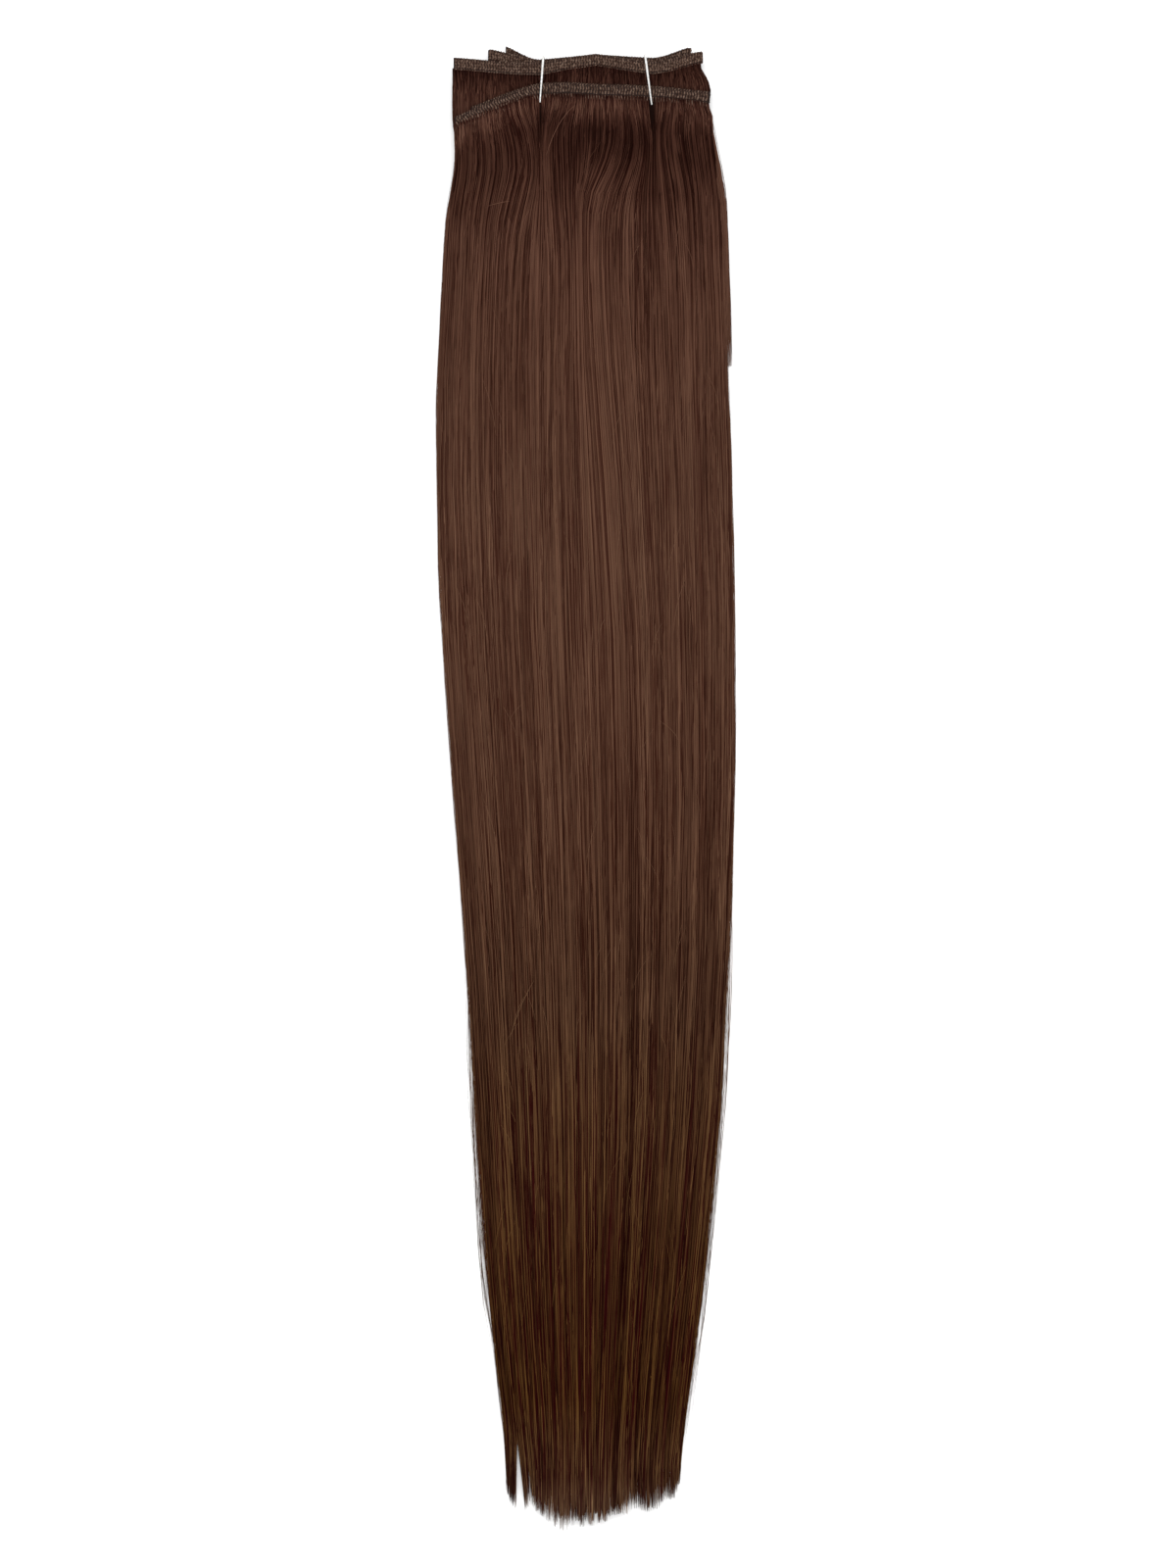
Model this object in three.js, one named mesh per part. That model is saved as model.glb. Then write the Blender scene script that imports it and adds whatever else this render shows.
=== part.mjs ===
// Machine weft hair extension: straight hair sewn into a narrow track. The track is folded to and fro
// into a stack, a shorter weft lies over it, and two elastic ties hold the tracks together.
// Millimetres, +Z up. The bundle lies on the plane z = 0 with its weft at +Y and its tips at -Y.
// The origin is on that plane, under the middle of the hair.
import * as THREE from "three";
import { mergeVertices } from "three/addons/utils/BufferGeometryUtils.js";

// Hair, seen from above. "down" is the distance from the stack's centre line towards the tips.
const HAIR_LENGTH = 559;
const HAIR_WIDTH = 111.5;
const GAP = 0.3; // left between pieces that touch on the real object

// Sewn track
const TRACK_HEIGHT = 4.5;
const TRACK_THICKNESS = 1.2;
const TRACK_CORNER = 0.3;
const WEFT_WIDTH = 95; // a folded run, from fold to fold
const WEFT_SHIFT = -3.7; // weft's middle from the middle of the hair

// Thickness of one run's hair: where the ties squeeze it, along its length, and at the tips
const SQUEEZED_HAIR = 0.9;
const BODY_HAIR = 0.6;
const TIP_HAIR = 0.35;
const EDGE_HAIR = 0.2; // side edge of the hair between the lowest and the uppermost run
const MOUND_POWER = 3; // how square the lying hair's rounded cross-section is
const LOCK_CROWN = 0.35; // ridge of a lock on the uppermost hair

// Tips: how much shorter the side locks are, and how uneven all locks are
const TIP_SPLIT = 26; // length over which the locks part from each other
const TIP_ARC = 9.6;
const TIP_UNEVEN = 9;

// Elastic ties, which go round the tracks and through the hair under them
const TIE_DIAMETER = 1.1;
const TIE_BEND = 1.2;
const TIE_REACH = 1.9; // from the front track down to a tie

// Hair that stays level below the front track and the ties, and then its way down to the surface
const LEVEL_HAIR = 3;
const DROP_LENGTH = 34;
const SLIT_TAPER = 15; // from a tie's slit at its full width to its end

// The lying hair's outline: along is a share of HAIR_LENGTH, and half of the hair's width and its
// sway to +X are shares of HAIR_WIDTH / 2.
const OUTLINE = [
  { along: 0, half: 0.86, sway: -0.06 },
  { along: 0.03, half: 0.882, sway: -0.036 },
  { along: 0.063, half: 0.891, sway: 0 },
  { along: 0.1, half: 0.931, sway: -0.024 },
  { along: 0.163, half: 0.969, sway: -0.03 },
  { along: 0.231, half: 0.99, sway: -0.037 },
  { along: 0.364, half: 1, sway: -0.006 },
  { along: 0.5, half: 0.949, sway: 0.044 },
  { along: 0.632, half: 0.875, sway: 0.07 },
  { along: 0.766, half: 0.784, sway: 0.067 },
  { along: 0.9, half: 0.649, sway: 0.04 },
  { along: 1, half: 0.52, sway: 0.045 },
];

// Ties: where they lie over the stack's track and where they go through the hair, as shares of
// WEFT_WIDTH / 2 from the weft's middle
const TIES = [
  { name: "left_tie", over: -0.28, through: -0.307 },
  { name: "right_tie", over: 0.535, through: 0.588 },
];
const WAIST = [TIES[0].through, 0.11, TIES[1].through]; // left tie, midway, right tie

// Folds and cut ends of each weft, from the surface up. across is a share of WEFT_WIDTH / 2, and rise
// is a share of TRACK_HEIGHT towards +Y. waists hold each run's rise at the places in WAIST.
const STACK = {
  ends: [
    { across: -0.583, rise: 1.04 },
    { across: 0.905, rise: 0.875 },
    { across: -0.96, rise: -0.17 },
    { across: 0.96, rise: 0.33 },
    { across: -0.724, rise: 0.67 },
    { across: 1, rise: 0.46 },
    { across: -1, rise: -0.03 },
  ],
  waists: [
    [-0.19, 0.25, -0.04],
    [-0.19, 0.25, -0.04],
    [-0.19, 0.22, -0.04],
    [-0.19, 0.25, -0.04],
    [-0.19, 0.27, -0.04],
    [-0.5, 0.29, -0.42],
  ],
};
const FRONT = {
  ends: [
    { across: -0.86, rise: -4.2 },
    { across: 1.055, rise: -2.92 },
    { across: -0.99, rise: -5.08 },
  ],
  waists: [
    [-2.17, -2.25, -2.4],
    [-2.25, -2.33, -2.46],
  ],
};
const BACK_LAYERS = STACK.waists.length;
const LAYERS = BACK_LAYERS + FRONT.waists.length;

// Locks between the left edge, the two ties and the right edge
const LOCKS = [4, 4, 3];

// A lock's end: width is its share of the full width, and near is the way from where it parts to
// its tip. Then how locks take turns in being shorter, in radians.
const LOCK_END = [
  { near: 0.6, width: 0.85 },
  { near: 1, width: 0.4 },
];
const UNEVEN_TURN = { lock: 2.4, layer: 1.7 };
const LONGEST_LOCK = -0.25; // share across the hair
const THIN_FROM = 0.5; // share along the hair from which it thins towards its tips

// Steps of the curves
const FOLD_STEPS = 6;
const LEVEL_STEPS = 2;
const DROP_STEPS = 5;
const LENGTH_STEPS = 7;
const TIE_SIDES = 8;
const BEND_STEPS = 4;

const SAME_POINT = 1e-4; // points closer than this are one corner

const COLOURS = {
  hair: { color: 0x4f3529, roughness: 0.5 },
  track: { color: 0x4f3b32, roughness: 0.85 },
  tie: { color: 0xeceae6, roughness: 0.6 },
};

const { lerp, clamp, smoothstep } = THREE.MathUtils;

// How far down the highest and the lowest edges of a weft's track lie, from its rises.
function trackSpan(rises) {
  const [highest, lowest] = [Math.max(...rises), Math.min(...rises)];
  return { start: -(highest + 0.5) * TRACK_HEIGHT, end: -(lowest - 0.5) * TRACK_HEIGHT };
}

const STACK_SPAN = trackSpan([...STACK.ends.map(({ rise }) => rise), ...STACK.waists.flat()]);
const WAIST_SPAN = trackSpan(FRONT.waists.flat());
const DEEPEST_TIE = WAIST_SPAN.end + TIE_REACH + TIE_DIAMETER + GAP;

// Stretches of the hair, down from the stack's centre line: where the stack's hair thins below its
// track, where the hair leaves the weft's width for its own outline, and where it thins to the tips
const SQUEEZE = { start: STACK_SPAN.end + 2 * GAP, end: WAIST_SPAN.start };
const SPREAD = { start: DEEPEST_TIE, end: DEEPEST_TIE + LEVEL_HAIR + DROP_LENGTH };
const THIN = { start: THIN_FROM * HAIR_LENGTH, end: HAIR_LENGTH };

// From 0 before a stretch of the hair to 1 after it.
function ease(stretch, down) {
  return smoothstep(down, stretch.start, stretch.end);
}

function yAt(down) {
  return HAIR_LENGTH / 2 - down;
}

function downAt(y) {
  return HAIR_LENGTH / 2 - y;
}

// The column "value" of a table where its rising column "key" has a place, on a smooth curve.
function read(table, key, value, place) {
  const last = table.length - 1;
  const found = table.findIndex((row) => row[key] > place);
  const i = found < 0 ? last : Math.max(found, 1);
  const at = (k) => table[clamp(k, 0, last)];
  const slope = (k) => {
    const [before, after] = [at(k - 1), at(k + 1)];
    return (after[value] - before[value]) / (after[key] - before[key]);
  };
  const step = at(i)[key] - at(i - 1)[key];
  const t = clamp((place - at(i - 1)[key]) / step, 0, 1);
  const [t2, t3] = [t * t, t * t * t];
  return (
    (2 * t3 - 3 * t2 + 1) * at(i - 1)[value] +
    (t3 - 2 * t2 + t) * step * slope(i - 1) +
    (3 * t2 - 2 * t3) * at(i)[value] +
    (t3 - t2) * step * slope(i)
  );
}

function outlineAt(value, down) {
  return (read(OUTLINE, "along", value, down / HAIR_LENGTH) * HAIR_WIDTH) / 2;
}

function weftX(across) {
  return WEFT_SHIFT + (across * WEFT_WIDTH) / 2;
}

function trackY(rise) {
  return yAt(0) + rise * TRACK_HEIGHT;
}

// A run of track seen from above: its ends in x, its rise between them, and which way it goes.
function planOf(weft, run) {
  const [from, to] = [weft.ends[run], weft.ends[run + 1]];
  const onWay = Math.sign(to.across - from.across);
  const isCut = (end) => end === 0 || end === weft.ends.length - 1;
  const foldReach = TRACK_THICKNESS + GAP / 2;
  const knots = [
    { x: weftX(from.across) + (isCut(run) ? 0 : onWay * foldReach), rise: from.rise },
    ...WAIST.map((across, i) => ({ x: weftX(across), rise: weft.waists[run][i] })),
    { x: weftX(to.across) - (isCut(run + 1) ? 0 : onWay * foldReach), rise: to.rise },
  ].sort((a, b) => a.x - b.x);
  return { ends: [knots[0].x, knots.at(-1).x], knots, onWay };
}

function planY({ knots }, x) {
  return trackY(read(knots, "x", "rise", x));
}

const FRONT_PLAN = planOf(FRONT, FRONT.waists.length - 1);

// Where the hair at x comes down to the surface and rounds off.
function settleAt(x) {
  const frontEdge = downAt(planY(FRONT_PLAN, x)) + TRACK_HEIGHT / 2;
  const start = Math.max(frontEdge, DEEPEST_TIE) + LEVEL_HAIR;
  return { start, end: start + DROP_LENGTH };
}

// Height from one layer of hair to the next.
function pitch(layer, down, settled) {
  const squeeze = layer < BACK_LAYERS ? ease(SQUEEZE, down) : 0;
  const rooted = lerp(TRACK_THICKNESS, SQUEEZED_HAIR, squeeze);
  return GAP + lerp(lerp(rooted, BODY_HAIR, settled), TIP_HAIR, ease(THIN, down));
}

// The rounded cross-section: 1 in the middle of the hair and 0 at its side edges.
function mound(x, down, settled) {
  const side = clamp(Math.abs(x - outlineAt("sway", down)) / outlineAt("half", down), 0, 1);
  return lerp(1, 1 - side ** MOUND_POWER, settled);
}

// How far out the inner layers reach, so that their edges keep EDGE_HAIR.
function innerReach(down) {
  const settled = ease(SPREAD, down);
  const lowest = (EDGE_HAIR + GAP) / pitch(1, down, settled);
  return lerp(1, (1 - lowest) ** (1 / MOUND_POWER), settled);
}

function isOuter(layer) {
  return layer === 0 || layer === LAYERS - 1;
}

// Underside of a layer, which is where the layers below it end.
function floorOf(layer, x, y) {
  const down = downAt(y);
  const settled = ease(settleAt(x), down);
  let z = (TIE_DIAMETER + GAP) * (1 - settled);
  for (let below = 0; below < layer; below++)
    z += pitch(below, down, settled) * (below ? mound(x, down, settled) : 1);
  return z;
}

function hairThickness(layer, x, y) {
  const down = downAt(y);
  const settled = ease(settleAt(x), down);
  return pitch(layer, down, settled) * (isOuter(layer) ? 1 : mound(x, down, settled)) - GAP;
}

// One closed body from triangles that all turn the same way.
function bodyOf(triangles) {
  let volume = 0;
  for (const [a, b, c] of triangles) volume += a.dot(b.clone().cross(c));
  const outward = volume < 0 ? triangles.map(([a, b, c]) => [a, c, b]) : triangles;
  const soup = new THREE.BufferGeometry().setFromPoints(outward.flat());
  const body = mergeVertices(soup, SAME_POINT);
  body.computeVertexNormals();
  return body;
}

function quad(a, b, c, d) {
  return [
    [a, b, c],
    [a, c, d],
  ];
}

// Skin over rings of points. An open loft gets an end cap on its first and last ring.
function loft(rings, closed) {
  const triangles = [];
  const count = rings[0].length;
  const last = closed ? rings.length : rings.length - 1;
  for (let i = 0; i < last; i++) {
    const [ring, next] = [rings[i], rings[(i + 1) % rings.length]];
    for (let k = 0; k < count; k++) {
      const after = (k + 1) % count;
      triangles.push(...quad(ring[k], ring[after], next[after], next[k]));
    }
  }
  if (!closed) {
    const [first, end] = [rings[0], rings.at(-1)];
    for (let k = 1; k < count - 1; k++) {
      triangles.push([first[0], first[k + 1], first[k]]);
      triangles.push([end[0], end[k], end[k + 1]]);
    }
  }
  return bodyOf(triangles);
}

// Track

// A run of track in one layer, with a place on its centre line at each border of the locks.
function makeRun(weft, run, layer) {
  const plan = planOf(weft, run);
  const stations = lockBorders().map(({ share }) => {
    const x = rootX(plan.ends, share);
    const y = planY(plan, x);
    return new THREE.Vector3(x, y, floorOf(layer, x, y) + TRACK_THICKNESS / 2);
  });
  return { ...plan, layer, stations };
}

// The track's cross-section at a place on its centre line, turned about Y by a fold's angle.
function trackRing(centre, turn) {
  const [h, t, c] = [TRACK_HEIGHT / 2, TRACK_THICKNESS / 2, TRACK_CORNER];
  const section = [
    [h - c, -t], [h, c - t], [h, t - c], [h - c, t],
    [c - h, t], [-h, t - c], [-h, c - t], [c - h, -t],
  ];
  const side = new THREE.Vector3(-Math.sin(turn), 0, Math.cos(turn));
  return section.map(([y, out]) =>
    centre.clone().addScaledVector(side, out).add(new THREE.Vector3(0, y, 0)),
  );
}

// The half turn by which a track folds back over itself.
function foldRings(lower, upper, onWay, facing) {
  const radius = (upper.z - lower.z) / 2;
  const centre = lower.clone().lerp(upper, 0.5);
  const rings = [];
  for (let i = 1; i < FOLD_STEPS; i++) {
    const turn = (Math.PI * i) / FOLD_STEPS;
    const outward = new THREE.Vector3(Math.sin(turn) * onWay, 0, -Math.cos(turn));
    rings.push(trackRing(centre.clone().addScaledVector(outward, radius), facing + turn * onWay));
  }
  return rings;
}

function trackOf(runs) {
  const rings = [];
  runs.forEach(({ stations, onWay }, i) => {
    const inOrder = onWay > 0 ? stations : stations.toReversed();
    const facing = onWay > 0 ? 0 : Math.PI;
    rings.push(...inOrder.map((centre) => trackRing(centre, facing)));
    const next = runs[i + 1];
    if (!next) return;
    const above = next.onWay > 0 ? next.stations[0] : next.stations.at(-1);
    rings.push(...foldRings(inOrder.at(-1), above, onWay, facing));
  });
  return loft(rings, false);
}

// Y of a run's centre line at a place across it.
function runY({ stations }, x) {
  const found = stations.findIndex((station) => station.x > x);
  const i = found < 0 ? stations.length - 1 : Math.max(found, 1);
  const [before, after] = [stations[i - 1], stations[i]];
  const t = clamp((x - before.x) / (after.x - before.x), 0, 1);
  return lerp(before.y, after.y, t);
}

// Hair

// Borders of the locks, as shares from the left edge (-1) to the right (1), and which are slits.
function lockBorders() {
  const stops = [-1, TIES[0].through, TIES[1].through, 1];
  const borders = [];
  LOCKS.forEach((count, group) => {
    for (let i = 0; i < count; i++)
      borders.push({
        share: lerp(stops[group], stops[group + 1], i / count),
        slit: group > 0 && i === 0,
      });
  });
  borders.push({ share: 1, slit: false });
  return borders;
}

// Where a share across the hair lies at its root, on a run with these ends.
function rootX(ends, share) {
  const inner = TIES.map(({ through }) => through);
  if (share < inner[0])
    return lerp(ends[0], weftX(inner[0]), (share + 1) / (inner[0] + 1));
  if (share > inner[1])
    return lerp(weftX(inner[1]), ends[1], (share - inner[1]) / (1 - inner[1]));
  return weftX(share);
}

function hairX(run, share, down) {
  const reach = isOuter(run.layer) ? 1 : innerReach(down);
  const spread = outlineAt("sway", down) + share * reach * outlineAt("half", down);
  return lerp(rootX(run.ends, share), spread, ease(SPREAD, down));
}

function slitHalf(down) {
  const closing = smoothstep(down, DEEPEST_TIE, DEEPEST_TIE + SLIT_TAPER);
  return (TIE_DIAMETER / 2 + GAP) * (1 - closing);
}

// How far down a lock's tip is: less at the sides, and uneven from lock to lock and layer to layer.
function tipDown(layer, lock, share) {
  const turn = UNEVEN_TURN.lock * lock + UNEVEN_TURN.layer * layer;
  const uneven = (TIP_UNEVEN * (1 + Math.sin(turn))) / 2;
  return HAIR_LENGTH - TIP_ARC * (share - LONGEST_LOCK) ** 2 - uneven;
}

// Evenly spaced places after "from", up to and with "to".
function stepsTo(from, to, count) {
  return Array.from({ length: count }, (_, i) => lerp(from, to, (i + 1) / count));
}

// Rows of a lock from root to tip: how far down each is, and the lock's width there as a share.
function lockRows(layer, x, root, tip) {
  const settle = settleAt(x);
  const parting = HAIR_LENGTH - TIP_SPLIT;
  const level =
    layer < BACK_LAYERS
      ? [SQUEEZE.start, SQUEEZE.end, DEEPEST_TIE, settle.start]
      : stepsTo(root, settle.start, LEVEL_STEPS);
  const rows = [
    root,
    ...level,
    ...stepsTo(settle.start, settle.end, DROP_STEPS),
    ...stepsTo(settle.end, parting, LENGTH_STEPS),
  ];
  return [
    ...rows.map((down) => ({ down, width: 1 })),
    ...LOCK_END.map(({ near, width }) => ({ down: lerp(parting, tip, near), width })),
  ];
}

// One lock as rows of columns, each with a point on its upper and its lower side.
function lockGrid(run, lock, borders, cells) {
  const { layer } = run;
  const [left, right] = [borders[lock], borders[lock + 1]];
  const centre = (left.share + right.share) / 2;
  const tip = tipDown(layer, lock, centre);
  const columns = Array.from({ length: cells + 1 }, (_, c) => {
    const share = lerp(left.share, right.share, c / cells);
    const root = downAt(runY(run, rootX(run.ends, share))) + TRACK_HEIGHT / 2 + GAP;
    const settledX = hairX(run, share, SPREAD.end);
    const slitSide = Number(c === 0 && left.slit) - Number(c === cells && right.slit);
    const crown = c > 0 && c < cells && layer === LAYERS - 1 ? LOCK_CROWN : 0;
    return lockRows(layer, settledX, root, tip).map(({ down, width }) => {
      const straight = hairX(run, share, down) + slitSide * slitHalf(down);
      const x = lerp(hairX(run, centre, down), straight, width);
      const y = yAt(down);
      const z = floorOf(layer, x, y);
      return {
        upper: new THREE.Vector3(x, y, z + hairThickness(layer, x, y) + crown),
        lower: new THREE.Vector3(x, y, z),
      };
    });
  });
  return columns[0].map((_, row) => columns.map((column) => column[row]));
}

function wall(a, b) {
  return quad(a.upper, a.lower, b.lower, b.upper);
}

// A run's hair: locks side by side that share their borders, apart from the slits and the tips.
function hairOf(run) {
  const borders = lockBorders();
  const cells = run.layer === LAYERS - 1 ? 2 : 1;
  const locks = borders.slice(1).map((_, lock) => lockGrid(run, lock, borders, cells));
  const apart = (a, b) => !b || a.upper.distanceTo(b.upper) > SAME_POINT;
  const triangles = [];
  locks.forEach((grid, lock) => {
    const tipRow = grid.length - 1;
    for (let c = 0; c < cells; c++) {
      triangles.push(...wall(grid[0][c + 1], grid[0][c]));
      triangles.push(...wall(grid[tipRow][c], grid[tipRow][c + 1]));
    }
    for (let row = 0; row < tipRow; row++) {
      const [near, far] = [grid[row], grid[row + 1]];
      for (let c = 0; c < cells; c++) {
        const [a, b, d, e] = [near[c], near[c + 1], far[c + 1], far[c]];
        triangles.push(...quad(b.upper, a.upper, e.upper, d.upper));
        triangles.push(...quad(a.lower, b.lower, d.lower, e.lower));
      }
      const [before, after] = [locks[lock - 1], locks[lock + 1]];
      const leftOpen = [row, row + 1].some((r) => apart(grid[r][0], before?.[r][cells]));
      const rightOpen = [row, row + 1].some((r) => apart(grid[r][cells], after?.[r][0]));
      if (leftOpen) triangles.push(...wall(near[0], far[0]));
      if (rightOpen) triangles.push(...wall(far[cells], near[cells]));
    }
  });
  return bodyOf(triangles);
}

// Ties

// Corners of a tie's loop, on the centre line of its thread.
function tieCorners({ over, through }, stackRuns, frontRuns) {
  const clear = GAP + TIE_DIAMETER / 2;
  const [overX, throughX] = [weftX(over), weftX(through)];
  const middles = (runs, x) => runs.map((run) => runY(run, x));
  const frontMiddles = middles(frontRuns, throughX);
  const frontTop = Math.max(...frontMiddles) + TRACK_HEIGHT / 2;
  const highY = Math.max(...middles(stackRuns, overX)) + TRACK_HEIGHT / 2 + clear;
  const deepY = Math.min(...frontMiddles) - (TRACK_HEIGHT + TIE_DIAMETER) / 2 - TIE_REACH;
  const overTrack = (runs) => runs.at(-1).stations[0].z + TRACK_THICKNESS / 2 + clear;
  const [overStack, overFront] = [overTrack(stackRuns), overTrack(frontRuns)];
  const frontShare = (highY - frontTop) / (highY - deepY);
  return [
    new THREE.Vector3(overX, highY, TIE_DIAMETER / 2),
    new THREE.Vector3(overX, highY, overStack),
    new THREE.Vector3(lerp(overX, throughX, frontShare), frontTop, overFront),
    new THREE.Vector3(throughX, deepY, overFront),
    new THREE.Vector3(throughX, deepY, TIE_DIAMETER / 2),
  ];
}

// Points round the loop, with its corners rounded.
function roundedLoop(corners) {
  return corners.flatMap((corner, i) => {
    const neighbours = [corners.at(i - 1), corners[(i + 1) % corners.length]];
    const [start, end] = neighbours.map((other) => {
      const way = other.clone().sub(corner);
      return corner.clone().addScaledVector(way.normalize(), TIE_BEND);
    });
    return new THREE.QuadraticBezierCurve3(start, corner, end).getPoints(BEND_STEPS);
  });
}

function tieOf(corners) {
  const line = roundedLoop(corners);
  const sideways = new THREE.Vector3(1, 0, 0);
  const rings = line.map((point, i) => {
    const tangent = line[(i + 1) % line.length].clone().sub(line.at(i - 1)).normalize();
    const across = sideways.clone().projectOnPlane(tangent).normalize();
    const outward = tangent.clone().cross(across);
    return Array.from({ length: TIE_SIDES }, (_, k) => {
      const turn = ((k + 0.5) * 2 * Math.PI) / TIE_SIDES;
      const radius = TIE_DIAMETER / 2 / Math.cos(Math.PI / TIE_SIDES);
      return point
        .clone()
        .addScaledVector(across, radius * Math.cos(turn))
        .addScaledVector(outward, radius * Math.sin(turn));
    });
  });
  return loft(rings, true);
}

function piece(name, geometry, look) {
  const mesh = new THREE.Mesh(
    geometry,
    new THREE.MeshStandardMaterial({ ...COLOURS[look], metalness: 0 }),
  );
  mesh.name = name;
  return mesh;
}

const stackRuns = STACK.waists.map((_, i) => makeRun(STACK, i, i));
const frontRuns = FRONT.waists.map((_, i) => makeRun(FRONT, i, BACK_LAYERS + i));

const extension = new THREE.Group();
extension.add(piece("stack_track", trackOf(stackRuns), "track"));
extension.add(piece("front_track", trackOf(frontRuns), "track"));
stackRuns.forEach((run, i) => extension.add(piece(`stack_hair_${i + 1}`, hairOf(run), "hair")));
frontRuns.forEach((run, i) => extension.add(piece(`front_hair_${i + 1}`, hairOf(run), "hair")));
for (const tie of TIES)
  extension.add(piece(tie.name, tieOf(tieCorners(tie, stackRuns, frontRuns)), "tie"));

export default extension;
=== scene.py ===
"""Machine weft hair extension, lying flat: strands, sewn tracks and twisted ties on the CAD frame."""

import math

import bpy
import numpy as np
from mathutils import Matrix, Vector
from mathutils.bvhtree import BVHTree


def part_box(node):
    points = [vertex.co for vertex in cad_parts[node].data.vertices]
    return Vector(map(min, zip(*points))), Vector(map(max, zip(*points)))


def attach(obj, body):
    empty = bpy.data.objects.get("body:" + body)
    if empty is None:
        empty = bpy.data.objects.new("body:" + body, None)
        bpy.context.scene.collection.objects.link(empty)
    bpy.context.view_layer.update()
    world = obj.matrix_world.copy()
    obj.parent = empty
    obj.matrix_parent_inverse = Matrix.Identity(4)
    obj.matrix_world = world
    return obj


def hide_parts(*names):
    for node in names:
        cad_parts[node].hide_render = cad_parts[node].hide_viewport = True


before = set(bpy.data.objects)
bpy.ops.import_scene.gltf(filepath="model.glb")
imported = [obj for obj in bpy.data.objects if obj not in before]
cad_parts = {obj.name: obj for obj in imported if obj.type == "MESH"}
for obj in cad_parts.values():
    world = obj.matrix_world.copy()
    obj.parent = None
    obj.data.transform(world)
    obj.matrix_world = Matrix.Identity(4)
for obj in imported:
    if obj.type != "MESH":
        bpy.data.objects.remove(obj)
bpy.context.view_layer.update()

MM = 0.001

# The picture: how much of the surface it shows, and the point that it centres on
PICTURE_HEIGHT = 598.4 * MM
PICTURE_MIDDLE = 5.05 * MM
LENS = 250
SENSOR = 36

# Strands: how far down from its track each point of a strand lies
LONG_STEPS = np.array((
    0, 1.2, 2.6, 4.5, 7, 10, 14, 19, 25, 31, 38, 46, 55, 66, 80, 105, 150, 210,
    275, 340, 405, 460, 500, 525, 542, 550,
)) / 550
INNER_STEPS = np.array((
    0, 2.5, 6, 11, 18, 27, 38, 55, 90, 150, 230, 320, 410, 480, 525, 550,
)) / 550
SHORT_STEPS = np.linspace(0, 1, 8)
SINGLE_STEPS = np.linspace(0, 1, 9)
ZONES = 16  # zones across the hair with colourings of their own
TINTS = 12  # from the darkest strands to the lightest
TOOTH = 1.07 * MM  # from one bunch of strands to the next along a track
BUNCHED = 0.8  # how far strands are drawn into their bunch at the track
BUNCH_DOWN = 2.3 * MM
BUNCH_LENGTH = 8 * MM
HIDDEN = 0.8 * MM  # how far the strands go up into their track

# Tips: how far above the longest strand's tip the hair ends, by its share across
TIPS = (
    (-1, 13), (-0.88, 7), (-0.76, 9), (-0.62, 4.5), (-0.4, 0), (-0.2, 1.2), (0.2, 2.6), (0.4, 4.5),
    (0.77, 8.6), (0.92, 11), (1, 15),
)
TIP_SHARE = np.array([row[0] for row in TIPS])
TIP_RISE = np.array([row[1] for row in TIPS]) * MM
RAGGED = 26 * MM  # how far the shortest strands end above the longest beside them

# The thin wisp at the left of the tips: the line that parts it off, and how wide and deep the gap is
WISP = {"x": -27.3 * MM, "y": -240 * MM, "lean": -0.05, "half": 1.7 * MM, "depth": 34 * MM}

# Single hairs off the sides: side, where they begin and end below the track, reach, and how many
FRINGES = (
    (1, 15 * MM, 115 * MM, 3.2 * MM, 420),
    (1, 60 * MM, 535 * MM, 1.5 * MM, 420),
    (-1, 20 * MM, 240 * MM, 1.5 * MM, 260),
    (-1, 180 * MM, 535 * MM, 1.7 * MM, 360),
    (-1, 330 * MM, 500 * MM, 4.5 * MM, 70),
    (1, 300 * MM, 535 * MM, 3.5 * MM, 70),
)

# Loose hairs on the front, in mm: their start, middle and end
LOOSE = (
    ((-4.9, 263.4), (-11.2, 255.8), (-15.9, 244.3)),
    ((-29.9, 227.1), (-34, 226.4), (-38.1, 225.3)),
    ((-29.9, -92.3), (-25.9, -80.5), (-20.6, -69.8)),
)

# The thinnest and the widest ribbons of each kind, in mm
WIDTHS = {
    "long": (0.15, 0.36),
    "short": (0.13, 0.32),
    "side": (0.2, 0.4),
    "fringe": (0.05, 0.12),
    "crossing": (0.07, 0.13),
}
THICK_FRINGE = {"share": 0.08, "width": 0.22}
LOOSE_WIDTH = 0.15 * MM

# Strands that come up and go down again on the front: how many, their points, lengths and widths
SURFACING = {"count": 12000, "points": 7, "lengths": (12 * MM, 48 * MM), "widths": (0.11 * MM, 0.3 * MM)}
FINE = {"count": 6500, "points": 5, "lengths": (5 * MM, 20 * MM), "widths": (0.11 * MM, 0.22 * MM)}

# Sewn tracks: how many runs each is folded into, how thick its band is, and from stitch to stitch
RUNS = {"stack_track": 6, "front_track": 2}
BAND = 1.2 * MM
PITCH = {"stack_track": 1.05 * MM, "front_track": TOOTH}

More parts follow.
